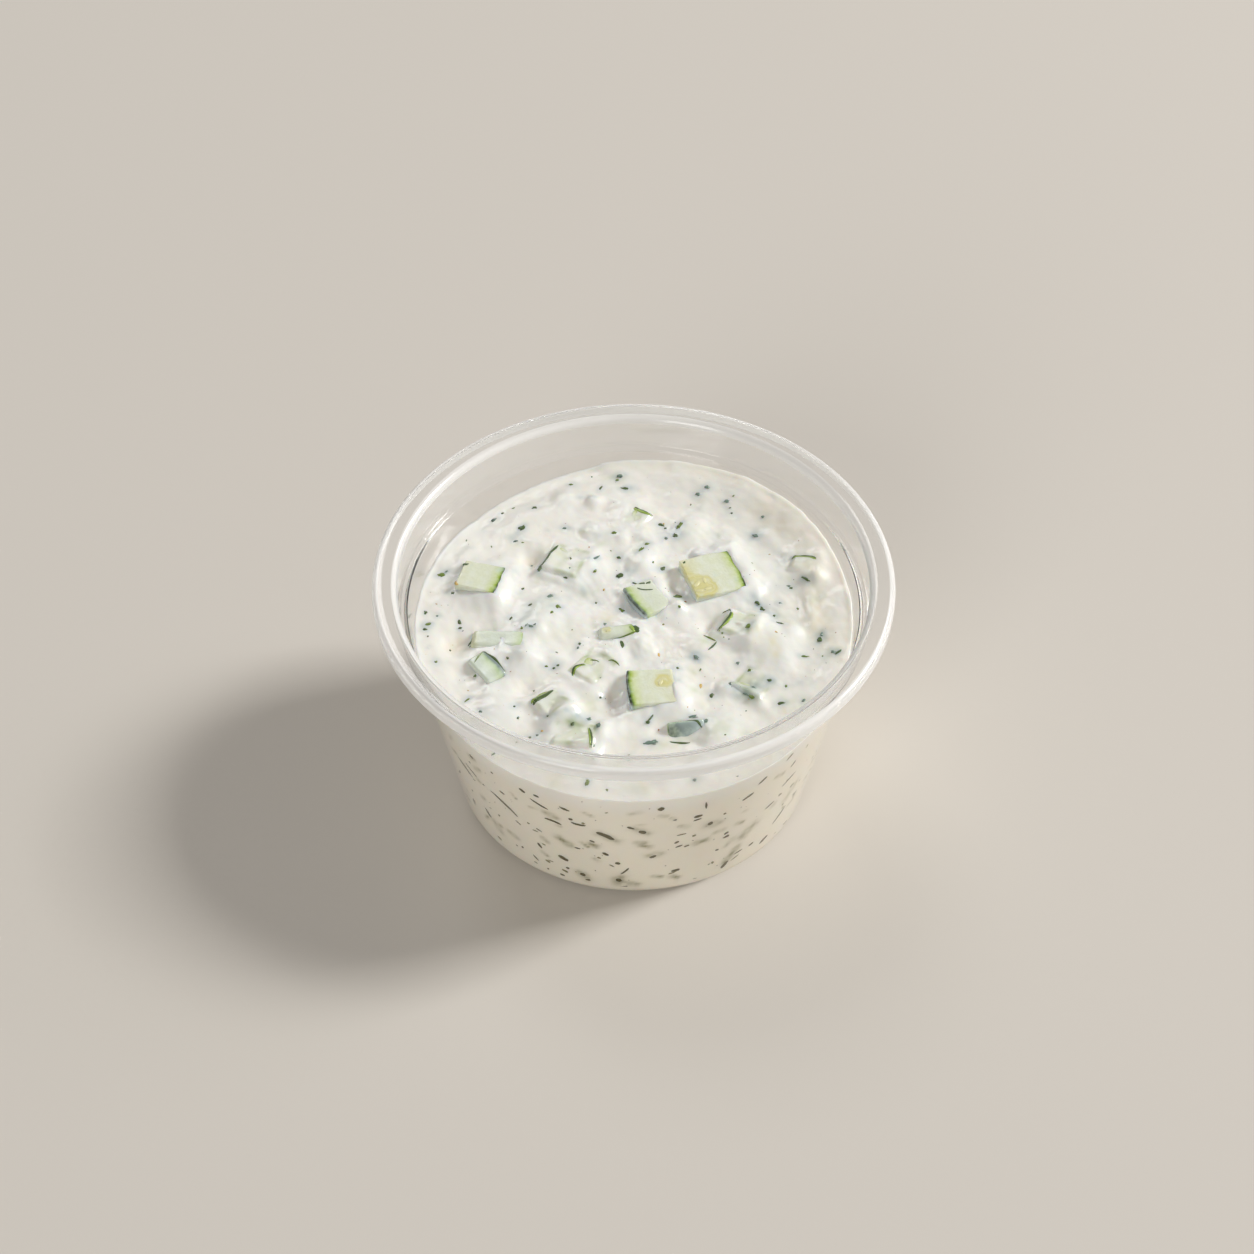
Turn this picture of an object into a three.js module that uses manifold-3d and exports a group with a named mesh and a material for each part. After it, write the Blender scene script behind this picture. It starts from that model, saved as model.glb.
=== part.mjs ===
// Clear plastic portion cup filled with raita: thick yoghurt with diced cucumber.
// Millimetres, +Z up. The origin is the centre of the cup's base, on the surface it stands on.

import * as THREE from 'three';
import { mergeVertices } from 'three/addons/utils/BufferGeometryUtils.js';
import Module from 'manifold-3d';

// ---------------------------------------------------------------- driving dimensions

const TURNS = 64;                 // flat sides round the cup
const ARC_STEPS = 3;              // flat steps in each rounded corner of a profile

// Cup, thermoformed from one thin sheet
const CUP_HEIGHT = 39;
const RIM_RADIUS = 37;            // outside of the turned-down rim
const SHEET = 0.55;               // thickness of the sheet
const RIM_CORNER = 0.8;           // outer rounding of the rim
const RIM_DROP = 2.0;             // height of the rim's turned-down edge
const RIM_FILLET = 1.2;           // rounding from the rim down into the lid seat
const SEAT_TOP_RADIUS = 33.45;    // inside of the lid seat, under the rim
const SEAT_FOOT_RADIUS = 33.0;    // inside of the lid seat, at the stacking ledge
const LEDGE_Z = 33.7;             // top of the stacking ledge
const WALL_TOP_RADIUS = 32.65;    // outside of the wall, just under the ledge
const WALL_TAPER = 0.1977;        // radius gained for each millimetre of height
const FOOT_CORNER = 2.0;          // outer rounding of the foot
const RECESS_RADIUS = 20.5;       // raised middle of the base
const RECESS_DEPTH = 0.6;

// Raita: it stands a little higher at the back than at the front
const GAP = 0.3;                  // room between pieces that touch
const LEVEL = 28.6;               // height of the surface on the cup's axis
const SLOPE = 0.088;              // rise of the surface for each millimetre towards +Y
const TOP_RINGS = 10;             // rings of faces across the surface

// Lumps of coated cucumber under the surface: place, height and spread
const LUMPS = [
  { x: 20.5, y: -3.5, height: 1.3, spread: 4.6 },
  { x: -12.5, y: 1.5, height: 1.2, spread: 4.6 },
  { x: 6.5, y: 17.5, height: 0.9, spread: 3.6 },
  { x: -3.5, y: 16.5, height: 0.6, spread: 3.2 },
  { x: 1.0, y: 12.5, height: 0.7, spread: 3.0 },
  { x: 12.5, y: -18.5, height: 1.0, spread: 3.4 },
  { x: -18.5, y: -15.5, height: 0.8, spread: 3.8 },
];

// Banks against the wall: the way each lies in degrees from +X, how far round it spreads, and its
// height at the wall
const BANKS = [
  { angle: 38, width: 45, height: 1.6 },
  { angle: 190, width: 45, height: 0.5 },
  { angle: 126, width: 34, height: -1.2 },
];
const BANK_REACH = 4.0;           // how far a bank reaches in from the wall
const COAT_SPREAD = 2.0;          // how far the raita's rise round a piece reaches past it
const COAT_SHARE = 0.45;          // how much of a piece's rise the raita climbs

// Cucumber, diced from slices with the skin on
const SKIN_ARC = 19;              // radius of the cucumber
const SKIN_STEPS = 4;
const CUT_EDGE = 0.25;            // softened edges of each dice
const BACK_SPLAY = 0.94;          // the side away from the skin is a little narrower

// Each dice: the place of its top on the surface and how far it stands proud of it, the way its
// skin side faces in degrees from +X, how far that side faces up, its roll about that direction,
// and its size: across from skin to core, along the skin, and deep.
const DICE = [
  { x: -22.2, y: 8.2, proud: 1.4, turn: -16, up: 0, roll: -3, across: 6.4, along: 5.9, deep: 5.6 },
  { x: 11.5, y: 8.8, proud: 1.8, turn: 20, up: -3, roll: 2, across: 8.2, along: 8.3, deep: 6.4 },
  { x: 1.8, y: 4.5, proud: 1.4, turn: 211, up: 4, roll: 0, across: 5.0, along: 6.6, deep: 5.4 },
  { x: -19.2, y: -2.6, proud: 1.2, turn: -6, up: 5, roll: 3, across: 8.0, along: 3.6, deep: 5.6 },
  { x: -20.7, y: -7.7, proud: 1.0, turn: 36, up: 3, roll: 0, across: 3.4, along: 5.8, deep: 4.6 },
  { x: 2.3, y: -11.9, proud: 1.6, turn: 186, up: 2, roll: -2, across: 6.9, along: 6.7, deep: 6.0 },
  { x: -6.0, y: -7.6, proud: 0.8, turn: 140, up: 6, roll: 3, across: 5.0, along: 5.6, deep: 5.0 },
  { x: -11.8, y: -14.3, proud: 1.2, turn: 126, up: 8, roll: 0, across: 4.4, along: 4.4, deep: 4.8 },
  { x: -10.1, y: 11.9, proud: 1.0, turn: 157, up: 4, roll: 3, across: 6.0, along: 6.0, deep: 5.4 },
  { x: 14.8, y: -0.1, proud: 1.3, turn: 157, up: 6, roll: 0, across: 4.8, along: 4.8, deep: 4.8 },
  { x: 7.3, y: -18.1, proud: 1.3, turn: 278, up: 44, roll: 0, across: 4.4, along: 5.4, deep: 4.8 },
  { x: -8.0, y: -20.1, proud: 1.1, turn: -12, up: 5, roll: -3, across: 6.2, along: 4.4, deep: 5.0 },
  { x: -2.3, y: -1.2, proud: 1.1, turn: 8, up: 3, roll: 0, across: 5.8, along: 2.6, deep: 4.4 },
  { x: 0.5, y: 20.4, proud: 0.8, turn: 54, up: 4, roll: 0, across: 4.0, along: 3.6, deep: 4.2 },
  { x: 24.7, y: 11.0, proud: 1.4, turn: 76, up: 5, roll: 0, across: 3.2, along: 3.8, deep: 3.6 },
  { x: 16.8, y: -10.7, proud: 0.4, turn: 235, up: 8, roll: 0, across: 4.6, along: 5.2, deep: 4.6 },
];

const CUP_COLOUR = 0xe9eef0;
const RAITA_COLOUR = 0xf1ede2;
const CUCUMBER_COLOUR = 0xcdd8a4;

// ---------------------------------------------------------------- helpers

const radians = THREE.MathUtils.degToRad;
const degrees = THREE.MathUtils.radToDeg;
const wasm = await Module();
wasm.setup();

// Points on a circle in a profile, from one angle to another.
function arc(centreR, centreZ, radius, from, to) {
  const points = [];
  for (let i = 0; i <= ARC_STEPS; i += 1) {
    const angle = radians(from + ((to - from) * i) / ARC_STEPS);
    points.push([centreR + radius * Math.cos(angle), centreZ + radius * Math.sin(angle)]);
  }
  return points;
}

// A turned shape from radius and height pairs that start and end on the axis.
function turned(profile) {
  const points = profile.map(([r, z]) => new THREE.Vector2(r, z));
  return new THREE.LatheGeometry(points, TURNS).rotateX(Math.PI / 2);
}

// A closed solid for joining and cutting, with shared corners and no collapsed faces.
function toSolid(geometry) {
  const bare = geometry.clone();
  bare.deleteAttribute('normal');
  bare.deleteAttribute('uv');
  const merged = mergeVertices(bare, 1e-4);
  const index = merged.index.array;
  const faces = [];
  for (let i = 0; i < index.length; i += 3) {
    const [a, b, c] = [index[i], index[i + 1], index[i + 2]];
    if (a !== b && b !== c && c !== a) {
      faces.push(a, b, c);
    }
  }
  return new wasm.Manifold(new wasm.Mesh({
    numProp: 3,
    vertProperties: new Float32Array(merged.attributes.position.array),
    triVerts: new Uint32Array(faces),
  }));
}

function toGeometry(solid) {
  const mesh = solid.getMesh();
  const geometry = new THREE.BufferGeometry();
  geometry.setAttribute('position', new THREE.BufferAttribute(mesh.vertProperties, 3));
  geometry.setIndex(new THREE.BufferAttribute(mesh.triVerts, 1));
  geometry.computeVertexNormals();
  return geometry;
}

function named(name, geometry, material) {
  const mesh = new THREE.Mesh(geometry, material);
  mesh.name = name;
  return mesh;
}

// ---------------------------------------------------------------- cup

// Radius of the wall's outer face at a height.
function wallRadius(z) {
  return WALL_TOP_RADIUS + WALL_TAPER * (z - LEDGE_Z + SHEET);
}

// The wall leans out by this angle, and the foot's rounding is centred here.
const LEAN = Math.atan(WALL_TAPER);
const FOOT_CENTRE_Z = FOOT_CORNER;
const FOOT_TANGENT_Z = FOOT_CENTRE_Z - FOOT_CORNER * Math.sin(LEAN);
const FOOT_CENTRE_R = wallRadius(FOOT_TANGENT_Z) - FOOT_CORNER * Math.cos(LEAN);
const LEAN_DEGREES = THREE.MathUtils.radToDeg(LEAN);

function cupGeometry() {
  const flangeR = SEAT_TOP_RADIUS + RIM_FILLET;
  const flangeZ = CUP_HEIGHT - RIM_FILLET;
  const edgeR = RIM_RADIUS - RIM_CORNER;
  const edgeZ = CUP_HEIGHT - RIM_CORNER;
  const tipRadius = SHEET / 2;
  const tipZ = CUP_HEIGHT - RIM_DROP + tipRadius;
  const under = [
    [0, RECESS_DEPTH],
    [RECESS_RADIUS - RECESS_DEPTH, RECESS_DEPTH],
    [RECESS_RADIUS, 0],
    ...arc(FOOT_CENTRE_R, FOOT_CENTRE_Z, FOOT_CORNER, -90, -LEAN_DEGREES),
    [WALL_TOP_RADIUS, LEDGE_Z - SHEET],
    [SEAT_FOOT_RADIUS + SHEET, LEDGE_Z - SHEET / 2],
  ];
  const rimUnder = [
    ...arc(flangeR, flangeZ, RIM_FILLET - SHEET, 180, 90),
    ...arc(edgeR, edgeZ, RIM_CORNER - SHEET, 90, 0),
    ...arc(RIM_RADIUS - tipRadius, tipZ, tipRadius, -180, 0),
  ];
  const rimTop = [
    ...arc(edgeR, edgeZ, RIM_CORNER, 0, 90),
    ...arc(flangeR, flangeZ, RIM_FILLET, 90, 180),
  ];
  const inside = [
    [SEAT_FOOT_RADIUS, LEDGE_Z],
    [WALL_TOP_RADIUS - SHEET + WALL_TAPER * SHEET, LEDGE_Z],
    ...arc(FOOT_CENTRE_R, FOOT_CENTRE_Z, FOOT_CORNER - SHEET, -LEAN_DEGREES, -90),
    [RECESS_RADIUS, SHEET],
    [RECESS_RADIUS - RECESS_DEPTH, RECESS_DEPTH + SHEET],
    [0, RECESS_DEPTH + SHEET],
  ];
  return turned([...under, ...rimUnder, ...rimTop, ...inside]);
}

// ---------------------------------------------------------------- cucumber

// One dice: its skin side is a stretch of the cucumber's round, the other sides are cut flat.
// The skin faces local +X, and the top face is at local z = 0 before it is turned.
function diceGeometry(dice, grow) {
  const half = dice.along / 2 + grow - CUT_EDGE;
  const skinX = dice.across / 2 + grow - CUT_EDGE;
  const swell = SKIN_ARC - Math.sqrt(SKIN_ARC ** 2 - half ** 2);
  const shape = new THREE.Shape();
  shape.moveTo(-skinX, half * BACK_SPLAY);
  shape.lineTo(-skinX, -half * BACK_SPLAY);
  for (let i = 0; i <= SKIN_STEPS; i += 1) {
    const y = half * ((2 * i) / SKIN_STEPS - 1);
    shape.lineTo(skinX - swell * (y / half) ** 2, y);
  }
  shape.closePath();
  const depth = dice.deep + 2 * grow - 2 * CUT_EDGE;
  const geometry = new THREE.ExtrudeGeometry(shape, {
    depth,
    steps: 1,
    bevelEnabled: true,
    bevelThickness: CUT_EDGE,
    bevelSize: CUT_EDGE,
    bevelSegments: 1,
  });
  return geometry.translate(0, 0, -depth / 2);
}

// Puts a dice in its place: its middle lies half its standing height under its proud top.
function place(mesh, dice) {
  const up = radians(dice.up);
  const halfHeight = (dice.deep * Math.cos(up) + dice.across * Math.sin(Math.abs(up))) / 2;
  const top = LEVEL + SLOPE * dice.y + dice.proud;
  mesh.position.set(dice.x, dice.y, top - halfHeight);
  mesh.rotation.set(radians(dice.roll), -up, radians(dice.turn), 'ZYX');
  mesh.updateMatrixWorld();
  return mesh;
}

// ---------------------------------------------------------------- raita

// Height of the surface: a sloping level, with lumps, banks and a rise round each dice.
function surfaceHeight(x, y) {
  let z = LEVEL + SLOPE * y;
  const fromWall = (wallRadius(z) - SHEET - Math.hypot(x, y)) / BANK_REACH;
  for (const bank of BANKS) {
    const turn = degrees(Math.atan2(y, x)) - bank.angle;
    const offset = THREE.MathUtils.euclideanModulo(turn + 180, 360) - 180;
    z += bank.height * Math.exp(-((offset / bank.width) ** 2) - fromWall ** 2);
  }
  for (const lump of LUMPS) {
    const distance = Math.hypot(x - lump.x, y - lump.y) / lump.spread;
    z += lump.height * Math.exp(-(distance ** 2));
  }
  for (const dice of DICE) {
    const reach = (dice.across + dice.along) / 4 + COAT_SPREAD;
    const distance = Math.hypot(x - dice.x, y - dice.y) / reach;
    z += COAT_SHARE * dice.proud * Math.exp(-(distance ** 4));
  }
  return z;
}

function raitaGeometry() {
  const floorZ = RECESS_DEPTH + SHEET + GAP;
  const inset = SHEET + GAP;
  const edge = wallRadius(LEVEL) - inset;
  const body = [
    [0, floorZ],
    [RECESS_RADIUS - RECESS_DEPTH, floorZ],
    [RECESS_RADIUS, inset],
    ...arc(FOOT_CENTRE_R, FOOT_CENTRE_Z, FOOT_CORNER - inset, -90, -LEAN_DEGREES),
  ];
  const top = [];
  for (let ring = TOP_RINGS; ring >= 0; ring -= 1) {
    top.push([(edge * ring) / TOP_RINGS, LEVEL]);
  }
  const geometry = turned([...body, ...top]);
  const position = geometry.attributes.position;
  const pointsPerTurn = body.length + top.length;
  for (let i = 0; i < position.count; i += 1) {
    const point = i % pointsPerTurn;
    if (point >= body.length) {
      const z = surfaceHeight(position.getX(i), position.getY(i));
      const atWall = point === body.length;
      const grow = atWall ? (wallRadius(z) - inset) / edge : 1;
      position.setXYZ(i, position.getX(i) * grow, position.getY(i) * grow, z);
    }
  }
  return geometry;
}

// ---------------------------------------------------------------- assembly

const part = new THREE.Group();

const cupMaterial = new THREE.MeshStandardMaterial({
  color: CUP_COLOUR,
  roughness: 0.08,
  metalness: 0,
  transparent: true,
  opacity: 0.35,
});
part.add(named('cup', cupGeometry(), cupMaterial));

let raita = toSolid(raitaGeometry());
DICE.forEach((dice, i) => {
  const material = new THREE.MeshStandardMaterial({
    color: CUCUMBER_COLOUR,
    roughness: 0.35,
    metalness: 0,
  });
  const mesh = place(named(`cucumber_${i + 1}`, diceGeometry(dice, 0), material), dice);
  part.add(mesh);
  const pocket = place(new THREE.Mesh(diceGeometry(dice, GAP)), dice);
  raita = raita.subtract(toSolid(pocket.geometry.applyMatrix4(pocket.matrixWorld)));
});

const raitaMaterial = new THREE.MeshStandardMaterial({
  color: RAITA_COLOUR,
  roughness: 0.3,
  metalness: 0,
});
part.add(named('raita', toGeometry(raita), raitaMaterial));

export default part;
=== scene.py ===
"""Looks for a clear plastic portion cup of raita: thick yoghurt with diced cucumber and herbs.

Every piece is modelled in millimetres in the part's own frame, then scaled to metres. The cup's
base stands on z = 0, +Z is up, and -Y is towards the viewer.
"""

import math
import random

import bmesh
import bpy
import numpy as np
from mathutils import Euler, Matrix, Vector, noise
from mathutils.bvhtree import BVHTree


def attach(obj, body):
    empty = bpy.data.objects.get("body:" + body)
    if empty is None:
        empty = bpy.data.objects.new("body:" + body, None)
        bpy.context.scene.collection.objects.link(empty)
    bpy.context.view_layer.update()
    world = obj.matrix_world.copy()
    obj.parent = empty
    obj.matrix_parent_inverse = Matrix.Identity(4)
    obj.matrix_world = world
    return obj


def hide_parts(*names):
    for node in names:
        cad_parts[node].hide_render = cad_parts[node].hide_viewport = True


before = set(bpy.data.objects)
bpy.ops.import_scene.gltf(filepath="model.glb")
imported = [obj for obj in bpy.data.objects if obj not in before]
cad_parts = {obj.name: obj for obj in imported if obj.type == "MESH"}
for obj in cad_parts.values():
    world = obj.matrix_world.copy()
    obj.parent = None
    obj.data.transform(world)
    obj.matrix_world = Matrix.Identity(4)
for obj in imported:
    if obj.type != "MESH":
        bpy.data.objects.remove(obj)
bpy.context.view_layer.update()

MM = 0.001

# ---------------- sizes, in millimetres

# Cup, one thin formed sheet
CUP_STEPS = 640  # sides round the cup
SHEET = 0.55
CUP_HEIGHT = 39.0
RIM_RADIUS = 37.0
LEDGE_Z = 33.7  # top of the stacking ledge
WALL_TOP_RADIUS = 32.65  # outside of the wall, one sheet below the ledge's top
WALL_TAPER = 0.1977  # radius gained for each millimetre of height
RECESS_RADIUS = 20.5  # raised middle of the base
RECESS_DEPTH = 0.6

# Raita, which reaches a little way into the sheet so that no gap shows
RAITA_STEPS = 440
RAITA_RINGS = 108
RAITA_ROWS = 54
BITE = 0.1
LEVEL = 28.6  # height of the surface on the cup's axis
SLOPE = 0.088  # rise of the surface for each millimetre towards +Y
FOOT_TOP = 3.0  # the side is straight from here up
MENISCUS_RISE = 0.35  # how far the raita climbs the wall
MENISCUS_REACH = 0.45
COAT_REACH = {"bare": 2.1, "film": 1.4}  # how far the rise round a dice spreads
COAT_SLOPE = 1.5  # how far the side of a coated dice spreads
SPILL_REACH = 1.0  # how far raita that stands above a bare dice laps over its edge

# Cucumber
SKIN_ARC = 19.0  # radius of the cucumber
BACK_SPLAY = 0.06  # share by which a dice narrows towards its core side
DICE_CELLS = 20  # faces along each side of a dice
EDGE_CELLS = 3  # how many of them lie in each softened edge

# Each dice: the place of its top and how far it stands proud of the surface, the way its skin
# side faces in degrees from +X, how far that side faces up, its roll, and its size across from
# skin to core, along the skin and deep. It is bare or coated with a film of raita. The raita
# climbs a share of its rise, plus or minus a second share towards and away from a heading.
DICE_ROWS = [
    (-22.2, 8.2, 1.4, -16, 0, -3, (6.4, 5.9, 5.6), "bare", (0.5, 0.32, -30)),
    (11.5, 8.8, 1.8, 20, -3, 2, (8.2, 8.3, 6.4), "bare", (0.45, 0.33, 0)),
    (1.8, 4.5, 1.4, 211, 4, 0, (5.0, 6.6, 5.4), "bare", (0.4, 0.3, 20)),
    (-19.2, -2.6, 1.2, -6, 5, 3, (8.0, 3.6, 5.6), "bare", (0.36, 0.36, -20)),
    (-20.7, -7.7, 1.0, 36, 3, 0, (3.4, 5.8, 4.6), "bare", (0.45, 0.25, -30)),
    (2.3, -11.9, 1.6, 186, 2, -2, (6.9, 6.7, 6.0), "bare", (0.45, 0.3, -20)),
    (-6.0, -7.6, 0.8, 140, 6, 3, (5.0, 5.6, 5.0), "film", (0.6, 0.2, -40)),
    (-11.8, -14.3, 1.2, 126, 8, 0, (4.4, 4.4, 4.8), "film", (0.45, 0.4, -30)),
    (-10.1, 11.9, 1.0, 157, 4, 3, (6.0, 6.0, 5.4), "film", (0.5, 0.4, -20)),
    (14.8, -0.1, 1.3, 157, 6, 0, (4.8, 4.8, 4.8), "film", (0.4, 0.5, -30)),
    (7.3, -18.1, 1.3, 278, 44, 0, (4.4, 5.4, 4.8), "bare", (0.0, 0.2, 60)),
    (-8.0, -20.1, 1.1, -12, 5, -3, (6.2, 4.4, 5.0), "film", (0.6, 0.2, 0)),
    (-2.3, -1.2, 1.1, 8, 3, 0, (5.8, 2.6, 4.4), "bare", (0.3, 0.3, 0)),
    (0.5, 20.4, 0.8, 54, 4, 0, (4.0, 3.6, 4.2), "film", (0.4, 0.3, -90)),
    (24.7, 11.0, 1.4, 76, 5, 0, (3.2, 3.8, 3.6), "film", (0.4, 0.3, -60)),
    (16.8, -10.7, 0.4, 235, 8, 0, (4.6, 5.2, 4.6), "film", (0.5, 0.2, 0)),
]
DICE_FIELDS = ("x", "y", "proud", "turn", "up", "roll", "size", "coat", "climb")
DICE = [dict(zip(DICE_FIELDS, row)) for row in DICE_ROWS]
COAT_FILM = 0.2  # thickness of the raita on a coated dice
THICKER_FILM = {12: 0.35, 16: 0.7}  # the same for the dice that hardly show
SOFT_EDGE = {"bare": 0.24, "film": 1.1}  # rounding of a dice that is bare, or under a coat
WORN = {4: 0.9, 5: 0.45, 11: 0.35, 13: 0.9}  # rounding of the bare dice that are worn
PULP = {2: (-2.0, -2.2, 2.6), 6: (-1.5, -0.9, 1.7), 13: (-1.4, 0.2, 1.3)}  # seedy spots: x, y, radius
SMEARED = {4: 0.3, 5: 0.4, 3: 0.15, 13: 0.2}  # least share of milk on some dice
CORE_DEPTH = 4.5  # the colours of the seedy core lie this deep under the skin
PEELED = {1: 0.12, 4: 0.2, 5: -0.25, 11: 0.25}  # how deep the skin was peeled off some dice

# Lumps in the surface: place, height and spread. The first are pieces wholly under the raita, the
# next are where it banks up against a dice, and those below zero are hollows beside one.
LUMPS = [
    (20.5, -3.5, 1.3, 3.9), (-12.5, 1.5, 1.2, 4), (8.4, 17.6, 0.9, 3), (-3.5, 16.5, 0.6, 2.8),
    (1, 12.5, 0.7, 2.6), (12.5, -18.5, 1, 3.1), (-18.5, -15.5, 0.8, 3.4), (-14.6, -6, 0.7, 2.3),
    (7, -12.3, 0.35, 2.4), (5.6, 2.4, 0.5, 1.9), (18.4, -0.6, 0.4, 2.3), (-8.8, -15.6, 0.35, 2.2),
    (-5.4, 11, 0.5, 2.2), (1.6, -4, 0.5, 1.8), (18.6, 10.4, 0.6, 2.8), (-3.2, -19, 0.6, 2.4),
    (11, -21.5, 0.5, 2.2), (8.6, -2.6, 0.35, 1.9), (-14.9, 12.4, -0.8, 1.7), (-25.3, -3.4, -0.9, 2.2),
    (-24.4, -8.4, -0.6, 1.8), (6, 6.6, -0.6, 1.9), (-2.6, -12.2, -0.7, 2), (-15.2, -11.6, -0.4, 1.6),
    (11, 0.6, -0.6, 1.7),
]
LUMP_POWER = 2.6  # above 2, a lump is flatter on top and steeper at its side
MORE_LUMPS = 46

# Ridges left by a spoon: middle, length, heading in degrees, half width and height
RIDGES = [
    (25.4, 3.6, 7, 95, 1.1, 0.45), (20.9, 15, 5, 128, 1.3, 0.3), (-24.6, 13.6, 5, 58, 1.4, 0.3),
    (-2.5, 24, 7, -4, 1.4, 0.3), (1, -24.6, 8, 6, 1.4, 0.3),
]

# Where the raita stands higher against the wall: heading in degrees, how far round it spreads,
# and its height at the wall
BANKS = [(38, 45, 1.6), (190, 45, 0.5), (126, 34, -1.2)]
BANK_REACH = 4.0  # how far a bank reaches in from the wall

# Herbs and spice
SET_IN = 0.03  # how far the middle of a fleck lies under the surface
HERB_GROWTH = (1.3, 1.4)  # the listed herbs are made this much longer and wider
STRAND_GROWTH = 1.7  # and the listed strands this much wider
HERB_THICKNESS = 0.2
SMALL_HERB_THICKNESS = 0.14
SEED_THICKNESS = 0.22
SPICE_THICKNESS = 0.1
SPICE_DUST_THICKNESS = 0.08
SLIVER_THICKNESS = 0.18
STRAND_THICKNESS = 0.18
FRONT_STRAND_THICKNESS = 0.16
WALL_PEPPER_THICKNESS = 0.12
LOWEST_BIT = 2.1  # bits at the wall stay above its curve into the base

# ---------------- marks read off the photograph

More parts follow.
